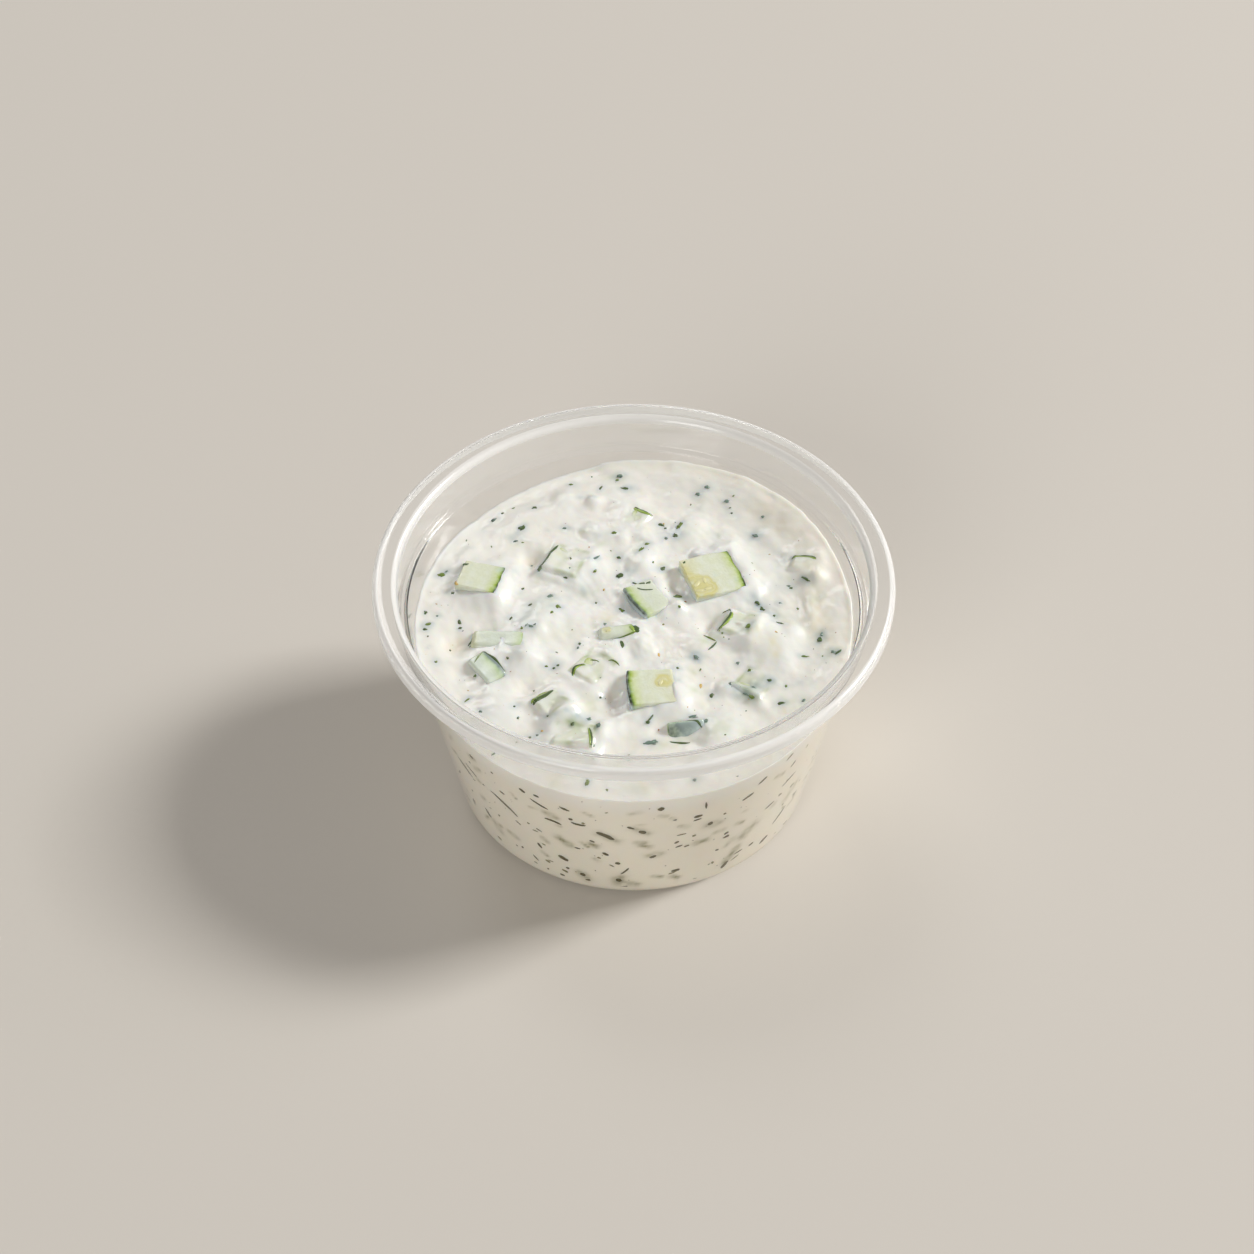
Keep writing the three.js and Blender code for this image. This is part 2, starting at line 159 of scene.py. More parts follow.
# Herbs on the surface: x, y, length, heading in degrees and width.
HERBS = [
    (-13.5, 10.4, 1.1, 62, 0.3), (-24.5, 10.9, 0.6, -10, 0.4), (7.4, 10.6, 0.4, 60, 0.25),
    (-16.4, 18.8, 0.9, 51, 0.5), (-17.3, 16.2, 0.5, 10, 0.3), (-14.7, 23, 0.5, 0, 0.35),
    (-20.6, 21.2, 0.7, 20, 0.45), (-19.4, 22.5, 0.35, 0, 0.25), (-2, 29.2, 0.7, 10, 0.5),
    (-9.3, 28, 0.5, 0, 0.3), (-1.1, 26.6, 0.8, 0, 0.5), (-4.9, 26.8, 0.8, 70, 0.2),
    (9.7, 25.2, 0.6, 40, 0.5), (11, 26.4, 0.6, 0, 0.45), (13.9, 23.6, 0.5, 0, 0.4),
    (19.2, 20.4, 0.45, 60, 0.35), (18.1, 17.1, 0.7, 30, 0.6), (4.1, 19.3, 0.8, 0, 0.4),
    (7, 18.7, 1, 60, 0.5), (6.3, 16.7, 0.7, -20, 0.5), (4.8, 16.3, 0.4, 0, 0.3),
    (-10.1, 18.9, 0.45, 0, 0.3), (-2.7, 17.1, 0.8, -30, 0.4), (2, 15, 0.6, 20, 0.35),
    (-2.1, 12.9, 0.45, 0, 0.35), (1.1, 13.8, 1.2, 60, 0.3), (-5.7, 12, 1.2, 30, 0.22),
    (-28, 10, 0.9, 30, 0.65), (-27.2, 10.5, 0.4, 40, 0.2), (-26.2, 5.9, 0.4, 0, 0.35),
    (-30, 2.4, 0.5, 80, 0.35), (-29.5, 0.1, 0.9, 20, 0.35), (-30, -0.8, 0.5, 30, 0.35),
    (-28.3, 1.9, 0.3, 0, 0.25), (-25.1, 1, 0.7, -80, 0.3), (-24.9, -0.1, 0.4, 40, 0.3),
    (-28.1, -6.7, 0.4, 0, 0.3), (-12.1, 5.1, 0.8, 50, 0.35), (-14.8, 3.4, 0.5, 40, 0.3),
    (-17.6, 1.2, 0.5, 50, 0.3), (-11, 2.9, 0.7, 0, 0.4), (-15.3, -0.7, 0.5, 40, 0.25),
    (-14.7, -1, 0.6, -20, 0.3), (-14.1, -0.8, 0.4, 50, 0.25), (-11.3, -7.8, 0.35, 30, 0.25),
    (-10.7, -7.4, 0.35, 30, 0.25), (-12.4, -7.6, 0.4, 0, 0.25), (-9.8, 8.7, 0.6, -40, 0.35),
    (-5.6, 9.8, 0.5, 50, 0.3), (-1.7, 9.4, 1.1, 15, 0.6), (4.2, 10.6, 0.9, 80, 0.4),
    (0.3, 7.5, 0.7, -30, 0.2), (1.3, 7.35, 0.8, 10, 0.18), (2.2, 7.55, 0.6, 30, 0.3),
    (6.7, 5.1, 1.1, -10, 0.7), (-1.7, 2.9, 0.8, -40, 0.4), (-5.4, 4.4, 0.3, 0, 0.25),
    (-4.1, 0.3, 0.4, 0, 0.35), (-7.9, -3.8, 0.35, 30, 0.3), (-7.7, -3.1, 0.35, 0, 0.3),
    (6.6, 2.5, 0.6, -60, 0.3), (8.9, -5.6, 0.7, -50, 0.45), (6.2, -8.1, 0.35, 0, 0.3),
    (22.9, 7.2, 0.35, 0, 0.3), (25.1, 8.1, 0.9, -40, 0.4), (17.8, 4.3, 0.9, -55, 0.35),
    (18.6, 3.1, 0.9, -50, 0.45), (20.2, 1.7, 0.35, 0, 0.3), (21.2, 4.2, 0.35, 0, 0.25),
    (16.6, -1.4, 1, 40, 0.4), (20.7, 0.2, 0.9, -10, 0.18), (26.7, -2.4, 0.7, 70, 0.5),
    (27, -1.5, 0.6, 70, 0.35), (28.5, -5, 0.45, 0, 0.4), (29.4, -4.9, 1.1, 41, 0.25),
    (24.2, -5.6, 0.9, 0, 0.2), (14.9, -6.7, 0.45, 60, 0.35), (16.5, -8, 0.5, 20, 0.35),
    (13.6, -10.8, 0.6, 60, 0.45), (16.9, -11.4, 0.45, 0, 0.35), (19.3, -9.9, 0.5, 0, 0.45),
    (15.9, -12.6, 0.6, -20, 0.35), (16.7, -13.1, 0.8, -30, 0.5), (11.1, -12.4, 0.7, 60, 0.55),
    (21.6, -10.8, 0.4, 60, 0.3), (20.8, -13.8, 0.9, 10, 0.35), (24, -13.3, 0.5, 40, 0.35),
    (-23.5, -13.3, 0.8, 50, 0.22), (-21.4, -15.8, 0.45, -30, 0.3), (-16.8, -14.9, 0.35, 30, 0.25),
    (-14.5, -19.8, 0.3, 0, 0.25), (-13.4, -19.5, 0.3, 0, 0.25), (-12, -17, 0.3, 0, 0.25),
    (-8.5, -18.1, 0.55, 50, 0.35), (-6.3, -17.4, 0.65, 50, 0.4), (-4.8, -18.8, 0.8, 40, 0.35),
    (-4.7, -12.6, 0.4, 40, 0.25), (2, -17.5, 0.5, 60, 0.4), (2.6, -16.6, 1.7, 60, 0.15),
    (2.35, -20.6, 1.3, 0, 0.5), (8.3, -16.6, 0.8, 5, 0.35), (10.2, -17.4, 0.6, 40, 0.4),
    (-0.7, -23, 0.45, 0, 0.35), (-6.4, -27.4, 0.8, 80, 0.35), (8.4, -27, 0.5, 30, 0.3),
]
# The paler ones among them, counted from 0
FRESH_HERBS = {9, 18, 22, 23, 25, 27, 31, 36, 40, 46, 48, 54, 55, 60, 69, 75, 77, 82, 84, 87, 103}

# Blurred marks of what lies just under the surface, and two marks of painted shade: x, y, length,
# heading, width and strength.
SUNK_AND_SHADE_MARKS = {
    "blue": [
        (24.6, 12, 1.6, -20, 0.9, 0.55), (-11.5, -17.7, 1, 58, 0.35, 0.5),
        (-10.3, -16.8, 1.2, 22, 0.35, 0.5), (-8.8, -16.6, 1.4, -4, 0.4, 0.5),
        (-7.2, -17.2, 1.6, -25, 0.4, 0.5), (-17.3, 17, 0.8, 0, 0.8, 0.6),
        (-7, 24.5, 3, -12, 0.45, 0.55), (-0.4, 26.7, 1.6, 0, 0.7, 0.4), (14, 22, 1, -80, 0.7, 0.35),
        (9.9, 23, 1.5, 80, 0.8, 0.3), (18, 17.6, 1.2, 30, 1.2, 0.45), (5.6, 17.6, 2, -20, 1.2, 0.4),
        (-8.9, 18.6, 1.4, -10, 0.6, 0.45), (-1, 9.6, 1.4, 15, 0.8, 0.6), (3.8, 10.6, 1.6, 0, 0.8, 0.35),
        (18.3, 3.4, 3.2, -50, 1.5, 0.5), (21.3, 7.4, 1.2, 0, 1, 0.3), (25.2, 7.9, 1.2, -20, 0.8, 0.55),
        (8.9, -5.6, 0.8, 0, 1.2, 0.6), (-13.5, 2.6, 2.4, 40, 1.4, 0.3), (-10.8, 4.9, 1.4, 0, 0.8, 0.3),
        (26.6, -2.6, 1.6, 60, 1.3, 0.5), (27.9, -5.4, 1.6, 30, 1.1, 0.4), (24, -10.1, 1.6, 0, 1, 0.4),
        (18.3, -10.4, 1.8, 10, 1, 0.65), (16, -11.4, 2, 0, 1.1, 0.7),
        (14.8, -11.9, 1.6, -40, 1.3, 0.45), (-7.4, -17, 1.8, 20, 0.8, 0.45),
        (-26.6, 9.6, 1, 60, 0.8, 0.25), (0.8, -5.6, 1.2, 0, 1.2, 0.3), (-9, 5.6, 1, 40, 0.8, 0.25),
        (12.4, 17, 1, 0, 0.9, 0.25), (-16.2, -5.4, 1.2, 0, 0.8, 0.2),
    ],
    "cream": [
        # The two long marks here, at the wall on the right, are painted shade on the bank where the
        # raita climbs the wall.
        (23.6, 11.2, 1.2, 60, 0.6, 0.4), (26.4, 4, 12, 95, 2.2, 0.7), (22, 18, 9, 130, 2, 0.5),
        (17.4, -3.2, 1.6, 70, 1.1, 0.5),
    ],
    "yellow": [
        (20, -4.6, 2.2, -80, 0.9, 0.5),
    ],
    "flesh": [
        (-10.6, -1.2, 3, 10, 1.6, 0.25), (-13.4, 3, 3, 40, 1.6, 0.25), (12.6, -18, 2, 0, 1.6, 0.3),
        (9.2, 17.4, 2, 0, 1.4, 0.3),
    ],
    "green": [
        (4.4, -21, 3, 10, 0.8, 0.3), (-3.5, 29, 2.2, 0, 0.7, 0.3), (-7, 17.8, 0.9, 10, 0.7, 0.35),
        (0.8, 14.6, 1.4, 60, 0.8, 0.4), (-4.6, 15.2, 1, 20, 0.6, 0.3), (10.6, -2.8, 1.4, 20, 0.9, 0.45),
        (16.4, -13, 1.4, -25, 0.8, 0.55), (-8.2, -17.8, 1.2, -60, 0.7, 0.35),
        (11.6, -19.4, 1.4, 60, 1.2, 0.3),
    ],
}

# Skin at the edges of coated dice, and other thin curved bits: start, middle and end, width, and
# the heading in which a lime band lies beside it, or None.
SLIVERS = [
    ((-11, 15), (-12.1, 13.2), (-13.6, 10.2), 0.5, None),
    ((-14.1, -14.8), (-12.9, -13.4), (-11.3, -12.3), 0.9, 135),
    ((-21.5, -5.1), (-19.8, -6.4), (-18.1, -9.1), 0.3, None),
    ((-8.7, -9.4), (-8.2, -7.9), (-6.9, -7.4), 0.42, -40),
    ((-7, -6.8), (-5.8, -6.4), (-4.9, -7), 0.22, None),
    ((-3.6, -6.8), (-2.7, -6.9), (-2, -7.8), 0.22, None),
    ((0.2, 22.5), (1.5, 21.6), (2.9, 20.8), 0.65, 235),
    ((12.8, 2.2), (13.6, 2.5), (14, 1.8), 0.25, None), ((14, 1.8), (13.6, 0.4), (12, -1.5), 0.5, -20),
    ((23.1, 12.1), (24.8, 12.4), (26.7, 11.5), 0.42, -95),
    ((-23.7, -3.1), (-23.4, -2.6), (-23.1, -2.2), 0.3, None),
    ((-21.4, -4.9), (-22.1, -6.1), (-22.6, -7.2), 0.2, None),
    ((-6.2, -18.9), (-5.9, -20.7), (-5.9, -22.6), 0.4, 180),
    ((-0.2, -0.7), (0.3, -1), (0.6, -1.7), 0.9, 180),
    ((-3.1, -2.6), (-0.9, -2.1), (0.7, -1.3), 0.16, None),
    ((-1.9, -2.9), (-1.6, -3.5), (-1.6, -4.2), 0.5, None),
    ((10, -1.7), (10.9, -2.3), (11.8, -2.8), 0.22, None),
    ((11.9, -2.9), (11.4, -3.6), (10.6, -4.5), 0.26, None),
    ((0.5, 6.4), (1.5, 6), (2.9, 6.2), 0.24, None),
    ((7.2, -17.5), (8.4, -17.5), (9.6, -18.5), 0.36, None),
    ((5, -20.4), (6.4, -20.6), (7.9, -20.5), 0.3, None),
]

# Spice on the surface: x, y and size across.
SPICE = [
    (-25.7, 6.7, 0.8), (-4.3, 6.8, 0.6), (3.5, -5.1, 0.8), (9.4, -10.8, 0.9), (20.3, -2.1, 0.6),
    (3.5, -18.4, 0.4), (-12.7, -18.9, 0.6), (4.5, 19.5, 0.5), (7.4, 3.9, 0.5), (-6.5, 14.5, 0.4),
    (20, 13.5, 0.4), (-28.5, 4.1, 0.4), (-23.4, -11.6, 0.4),
]
RED_SPICE = {5, 8, 9}  # the redder ones, counted from 0

# Cucumber seeds in the seedy spots: x, y, length, heading and width.
SEEDS = [
    (9.2, 6.4, 1.5, 60, 0.7), (10.3, 7.2, 1.3, 100, 0.6), (10.9, 5.6, 1.4, 30, 0.65),
    (9.6, 5.1, 1.1, 10, 0.55), (3.8, -11.2, 1.2, 70, 0.55), (-3.6, -1.4, 0.9, 20, 0.45),
]

# Dill and stalks against the wall: angle in degrees, height, length, tilt, width and bend.
WALL_STRANDS = [
    (215.7, 17.8, 3.8, -32, 0.3, 0.05), (219.2, 18.9, 2.7, -33, 0.22, 0.05),
    (231.5, 19.2, 1, -19, 0.26, 0), (231.2, 16.2, 5.5, -34, 0.3, -0.4), (221, 9, 1.9, -65, 0.36, 0.05),
    (239.4, 23, 1.1, -44, 0.36, 0), (243.9, 21, 3, -26, 0.24, 0.08), (243.6, 23.1, 0.9, -8, 0.3, 0),
    (251.4, 21.9, 1.6, -21, 0.28, 0.05), (247.4, 17.6, 2.6, -10, 0.3, -0.25),
    (241, 8.8, 1.3, -67, 0.3, 0.05), (248.5, 7.5, 1.7, -34, 0.5, 0), (254.8, 18.4, 2.2, -5, 0.28, 0.2),
    (262.3, 16.4, 3, -33, 0.5, -0.15), (261.9, 11.2, 1.1, -43, 0.34, 0), (265.3, 8.8, 0.8, -6, 0.4, 0),
    (254.2, 4.1, 0.9, -50, 0.48, 0), (265.4, 3.9, 1, -64, 0.5, 0), (267.5, 6.6, 2.2, 58, 0.18, 0.1),
    (269.2, 19, 1.2, -30, 0.3, 0), (272.4, 17.8, 1.2, -40, 0.48, 0), (275.6, 10.7, 1.1, 33, 0.36, 0),
    (277.1, 23.9, 1, 40, 0.5, 0), (282.2, 14, 0.8, 39, 0.28, 0), (282.8, 5.9, 1.3, 8, 0.36, 0),
    (287.5, 20.2, 1.3, 6, 0.4, 0), (291.5, 17.2, 0.8, 10, 0.5, 0), (302.2, 20.8, 2, 24, 0.3, 0),
    (306.1, 23.4, 1.7, 38, 0.26, 0), (318.2, 18, 3, 26, 0.2, 0.05), (317.7, 22.1, 1.3, 50, 0.2, 0),
    (312.3, 14.2, 1.8, 22, 0.2, 0), (319.8, 8.1, 3.5, 50, 0.26, 0.1), (326.1, 10.2, 1.4, 56, 0.26, 0),
    (314.9, 3.9, 1.8, 34, 0.4, 0), (289.3, 22.7, 1.8, -84, 0.18, 0), (297.5, 12.7, 0.8, 27, 0.3, 0),
    (289.6, 1.9, 0.8, 13, 0.36, 0), (299.6, 3.2, 1.8, 61, 0.4, 0),
]

# Blurred herbs a little way in from the wall: angle, height, length, tilt, width and strength.
WALL_SUNK = [
    (249.8, 12.6, 1.9, -40, 0.7, 0.75), (258.6, 13.4, 1, -25, 0.5, 0.7),
    (273.3, 13.8, 1.4, -23, 0.5, 0.7), (289.7, 12.7, 1.5, 5, 0.6, 0.6), (305.5, 10.4, 2.4, 40, 1, 0.4),
    (282.8, 4, 1.2, -40, 0.5, 0.6), (301.2, 5.4, 3.2, 61, 0.7, 0.6), (270.2, 2.9, 1, -20, 0.6, 0.5),
    (247, 19, 1.4, -20, 0.7, 0.4), (231, 7.8, 1.2, -20, 0.6, 0.35), (262.9, 16, 3, -33, 0.8, 0.35),
    (271.9, 18.1, 2.4, -36, 0.7, 0.35), (265.4, 4.2, 1.2, 60, 0.9, 0.45),
    (254.4, 4, 1.2, -50, 0.9, 0.4), (276, 11.2, 1.4, 10, 0.8, 0.35), (224, 7, 2, -60, 0.8, 0.3),
    (292.5, 16.8, 1.6, -10, 0.9, 0.35), (322, 13, 3, 55, 0.8, 0.3),
]

# How many more of each there are, scattered
MORE_SUNK_MARKS = 120
MORE_HERBS = 50
SUNK_SHARE = 0.5  # of the dark herbs, those that the raita tints
MORE_PEPPER = 80
MORE_SPICE = 34
MORE_WALL_STRANDS = 120
MORE_FRONT_STRANDS = 60
MORE_WALL_SUNK = 130
MORE_WALL_PEPPER = 150

# How far from the middle the scattered lumps, marks and herbs reach
LUMPY_REACH = 28.5
MARKED_REACH = 29.5
HERB_REACH = 30.2
CLEAR_OF_WALL = 0.9  # how far a herb on the surface stays from the wall
FRONT = (213, 327)  # the angles between which the strands are placed one by one

# ---------------- small helpers


def tint(red, green, blue):
    """A colour as seen on screen, 0 to 255, turned into the numbers that a shader takes."""
    shares = [channel / 255 for channel in (red, green, blue)]
    linear = [s / 12.92 if s <= 0.04045 else ((s + 0.055) / 1.055) ** 2.4 for s in shares]
    return (*linear, 1.0)


def smooth_step(low, high, value):
    """0 below low, 1 above high, and an even curve between them."""
    share = np.clip((value - low) / (high - low), 0.0, 1.0)
    return share * share * (3 - 2 * share)


def turned_offsets(x, y, degrees):
    """Offsets along and across a heading."""
    cos, sin = math.cos(math.radians(degrees)), math.sin(math.radians(degrees))
    return x * cos + y * sin, y * cos - x * sin


def outer_wall(z):
    """Radius of the wall's outer face at a height."""
    return WALL_TOP_RADIUS + WALL_TAPER * (z - LEDGE_Z + SHEET)


def inner_wall(z):
    """Radius of the wall's inner face at a height."""
    return WALL_TOP_RADIUS - SHEET + WALL_TAPER * (z - LEDGE_Z + SHEET)


def raita_wall(z):
    """Radius of the raita where it lies against the wall."""
    return inner_wall(z) + BITE


def rounded(corners, steps):
    """A profile's points from (radius, height, rounding) corners."""
    points = []
    for i, (r, z, rounding) in enumerate(corners):
        here = Vector((r, z))
        if rounding == 0 or i in (0, len(corners) - 1):
            points.append((r, z))
            continue
        back = Vector(corners[i - 1][:2]) - here
        ahead = Vector(corners[i + 1][:2]) - here
        half = back.angle(ahead) / 2
        reach = min(rounding / math.tan(half), 0.49 * back.length, 0.49 * ahead.length)
        radius = reach * math.tan(half)
        back.normalize()
        ahead.normalize()
        centre = here + (back + ahead).normalized() * (radius / math.sin(half))
        start = here + back * reach - centre
        end = here + ahead * reach - centre
        for step in range(steps + 1):
            share = step / steps
            spoke = start.lerp(end, share)
            if spoke.length > 1e-9:
                spoke = spoke.normalized() * radius
            points.append(tuple(centre + spoke))
    return points


def turned(points, steps):
    """A closed turned shape from (radius, height) points that start and end on the axis."""
    bm = bmesh.new()
    verts = [bm.verts.new((r, 0, z)) for r, z in points]
    edges = [bm.edges.new(pair) for pair in zip(verts, verts[1:])]
    middle, up = (0, 0, 0), (0, 0, 1)
    bmesh.ops.spin(
        bm, geom=verts + edges, cent=middle, axis=up, angle=2 * math.pi, steps=steps, use_merge=True
    )
    bmesh.ops.remove_doubles(bm, verts=bm.verts, dist=1e-5)
    bmesh.ops.recalc_face_normals(bm, faces=bm.faces)
    return bm


def added(name, data):
    """A new object in the scene."""
    thing = bpy.data.objects.new(name, data)
    bpy.context.scene.collection.objects.link(thing)
    return thing


def added_shape(name, bm, materials):
    """A new object made of a shape, shaded smooth."""
    mesh = bpy.data.meshes.new(name)
    bm.to_mesh(mesh)
    bm.free()
    mesh.polygons.foreach_set("use_smooth", [True] * len(mesh.polygons))
    for material in materials:
        mesh.materials.append(material)
    return added(name, mesh)


def made_piece(name, bm, materials, stands_for=()):
    """Turns a shape in millimetres into a piece of the object."""
    bmesh.ops.scale(bm, vec=(MM, MM, MM), verts=bm.verts)
    piece = added_shape(name, bm, materials)
    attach(piece, "root")
    if stands_for:
        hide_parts(*stands_for)
    return piece


def keep_values(piece, name, kind, values):
    """Stores one value for each point of a piece, for its material to read."""
    attribute = piece.data.attributes.new(name, kind, "POINT")
    field = {"FLOAT": "value", "FLOAT_VECTOR": "vector", "FLOAT_COLOR": "color"}[kind]
    attribute.data.foreach_set(field, np.asarray(values, np.float32).ravel())


def bumps(points, wavelength, shift=0.0):
    """Smooth noise from -1 to 1 at each point."""
    return np.array([noise.noise(Vector(p) / wavelength + Vector((shift, 0, 0))) for p in points])


# ---------------- materials


def new_material(name):
    """A material with a Principled shader: (material, its nodes, the shader)."""
    material = bpy.data.materials.new(name)
    material.use_nodes = True
    nodes = material.node_tree.nodes
    return material, nodes, nodes["Principled BSDF"]


def join(output, socket):
    """Links an output to a socket of the same material or group."""
    socket.id_data.links.new(output, socket)


def set_inputs(node, **values):
    """Gives a node's inputs constant values; an underscore stands for a space in a name."""
    for name, value in values.items():
        node.inputs[name.replace("_", " ")].default_value = value


def add_node(nodes, kind, **values):
    """A new shader node of a kind, with some of its inputs set."""
    node = nodes.new("ShaderNode" + kind)
    set_inputs(node, **values)
    return node


def unevenness_group():
    """A group that turns coordinates in millimetres into coarse and fine unevenness."""
    group = bpy.data.node_groups.new("Unevenness", "ShaderNodeTree")
    group.interface.new_socket("Place", in_out="INPUT", socket_type="NodeSocketVector")
    for name in ("Coarse Scale", "Fine Scale"):
        group.interface.new_socket(name, in_out="INPUT", socket_type="NodeSocketFloat")
    for name in ("Coarse", "Fine"):
        group.interface.new_socket(name, in_out="OUTPUT", socket_type="NodeSocketFloat")
    start = group.nodes.new("NodeGroupInput")
    end = group.nodes.new("NodeGroupOutput")
    for name in ("Coarse", "Fine"):
        pattern = add_node(group.nodes, "TexNoise", Detail=3.0)
        join(start.outputs["Place"], pattern.inputs["Vector"])
        join(start.outputs[name + " Scale"], pattern.inputs["Scale"])
        join(pattern.outputs["Fac"], end.inputs[name])
    return group


UNEVENNESS = unevenness_group()


def add_unevenness(nodes, coarse, fine, place=None):
    """Puts the unevenness group in a material, on its object coordinates unless told otherwise."""
    group = nodes.new("ShaderNodeGroup")
    group.node_tree = UNEVENNESS
    set_inputs(group, Coarse_Scale=coarse, Fine_Scale=fine)
    if place is None:
        coordinates = add_node(nodes, "TexCoord")
        to_mm = add_node(nodes, "Mapping", Scale=(1 / MM, 1 / MM, 1 / MM))
        join(coordinates.outputs["Object"], to_mm.inputs["Vector"])
        place = to_mm.outputs["Vector"]
    join(place, group.inputs["Place"])
    return group


def add_bump(nodes, shader, height, distance, strength):
    """Roughens a surface by a height pattern."""
    bump = add_node(nodes, "Bump", Strength=strength, Distance=distance * MM)
    join(height, bump.inputs["Height"])
    join(bump.outputs["Normal"], shader.inputs["Normal"])


def colour_mix(nodes, blend, factor, first, second):
    """Mixes two colours; each of the three may be a socket or a constant."""
    mix = add_node(nodes, "Mix")
    mix.data_type = "RGBA"
    mix.blend_type = blend
    for socket, value in zip((mix.inputs[0], mix.inputs[6], mix.inputs[7]), (factor, first, second)):
        if isinstance(value, bpy.types.NodeSocket):
            join(value, socket)
        else:
            socket.default_value = value
    return mix.outputs[2]


def stored(nodes, name):
    """A node that reads a value stored on the piece."""
    node = add_node(nodes, "Attribute")
    node.attribute_name = name
    return node


def plastic_material(name, clearness, roughness):
    """Glossy plastic that lets lamps reach what is behind it."""
    material, nodes, shader = new_material(name)
    set_inputs(shader, Base_Color=(0.985, 0.985, 0.98, 1), Roughness=roughness)
    set_inputs(shader, IOR=1.5, Transmission_Weight=clearness)
    rays = add_node(nodes, "LightPath")
    clear = add_node(nodes, "BsdfTransparent", Color=(0.97, 0.97, 0.965, 1))
    pass_light = add_node(nodes, "MixShader")
    either = add_node(nodes, "Math")
    either.operation = "MAXIMUM"
    join(rays.outputs["Is Shadow Ray"], either.inputs[0])
    join(rays.outputs["Is Diffuse Ray"], either.inputs[1])
    join(either.outputs["Value"], pass_light.inputs["Fac"])
    join(shader.outputs["BSDF"], pass_light.inputs[1])
    join(clear.outputs["BSDF"], pass_light.inputs[2])
    join(pass_light.outputs["Shader"], nodes["Material Output"].inputs["Surface"])
    return material


def raita_material():
    """Thick wet yoghurt, stained round the herbs in it, with painted shade in its hollows and on a bank
    at the wall.
    """
    material, nodes, shader = new_material("raita")
    uneven = add_unevenness(nodes, 0.18, 1.1)
    thick, thin = tint(244, 244, 241), tint(239, 239, 234)
    cream = colour_mix(nodes, "MIX", uneven.outputs["Coarse"], thick, thin)
    stained_and_shaded = colour_mix(nodes, "MULTIPLY", 1.0, cream, stored(nodes, "stain_and_shade").outputs["Color"])
    join(stained_and_shaded, shader.inputs["Base Color"])
    join(stored(nodes, "dullness").outputs["Fac"], shader.inputs["Roughness"])
    set_inputs(shader, IOR=1.38, Subsurface_Weight=0.6, Subsurface_Radius=(1.0, 0.75, 0.5))
    set_inputs(shader, Subsurface_Scale=1.1 * MM, Coat_Weight=0.6, Coat_Roughness=0.08)
    add_bump(nodes, shader, uneven.outputs["Fine"], 0.06, 0.4)
    return material


# The colours from the skin to the core of the cucumber, and where each lies on the way
FROM_SKIN_TO_CORE = [
    (0, (30, 44, 12)), (0.03, (42, 62, 16)), (0.048, (110, 142, 38)), (0.085, (180, 202, 98)),
    (0.14, (216, 226, 172)), (0.25, (231, 236, 214)), (0.62, (233, 237, 216)),
    (0.86, (229, 230, 200)), (1, (226, 220, 160)),
]


def cucumber_material():
    """Wet cucumber: dark skin, a lime band under it, pale flesh and a yellower core."""
    material, nodes, shader = new_material("cucumber")
    own = stored(nodes, "own")
    uneven = add_unevenness(nodes, 0.7, 2.2, own.outputs["Vector"])
    parts = add_node(nodes, "SeparateXYZ")
    join(own.outputs["Vector"], parts.inputs["Vector"])
    wander = add_node(nodes, "Math")
    wander.operation = "MULTIPLY_ADD"
    wander.inputs[1].default_value = 0.5
    join(uneven.outputs["Coarse"], wander.inputs[0])
    join(parts.outputs["X"], wander.inputs[2])
    depth = add_node(nodes, "MapRange", From_Min=0.25, From_Max=8.25)
    join(wander.outputs["Value"], depth.inputs["Value"])
    ramp = add_node(nodes, "ValToRGB")
    elements = ramp.color_ramp.elements
    while len(elements) < len(FROM_SKIN_TO_CORE):
        elements.new(0.5)
    for element, (position, colour) in zip(elements, FROM_SKIN_TO_CORE):
        element.position = position
        element.color = tint(*colour)
    join(depth.outputs["Result"], ramp.inputs["Fac"])
    dim, bright = tint(232, 234, 228), tint(255, 255, 255)
    mottle = colour_mix(nodes, "MIX", uneven.outputs["Fine"], dim, bright)
    flesh = colour_mix(nodes, "MULTIPLY", 0.8, ramp.outputs["Color"], mottle)
    pale = add_node(nodes, "MapRange", From_Min=0.45, From_Max=0.75, To_Max=0.45)
    join(uneven.outputs["Coarse"], pale.inputs["Value"])
    flesh = colour_mix(nodes, "MIX", pale.outputs["Result"], flesh, tint(238, 244, 240))
    # The milk share also carries painted light on the steeply tilted dice.
    milk_and_light = stored(nodes, "milk_and_light").outputs["Fac"]
    milky_and_lit = colour_mix(nodes, "MIX", milk_and_light, flesh, tint(208, 225, 227))
    join(milky_and_lit, shader.inputs["Base Color"])
    set_inputs(shader, Roughness=0.22, IOR=1.36, Coat_Weight=0.5, Coat_Roughness=0.08)
    set_inputs(shader, Subsurface_Weight=0.35, Subsurface_Radius=(0.9, 1.0, 0.6))
    set_inputs(shader, Subsurface_Scale=0.8 * MM)
    add_bump(nodes, shader, uneven.outputs["Fine"], 0.08, 0.5)
    return material


def plain_material(name, colour, roughness, coat):
    """One even colour, for crumbs too small to carry a pattern."""
    material, nodes, shader = new_material(name)
    set_inputs(shader, Base_Color=colour, Roughness=roughness, Coat_Weight=coat, Coat_Roughness=0.15)
    return material


# ---------------- cup


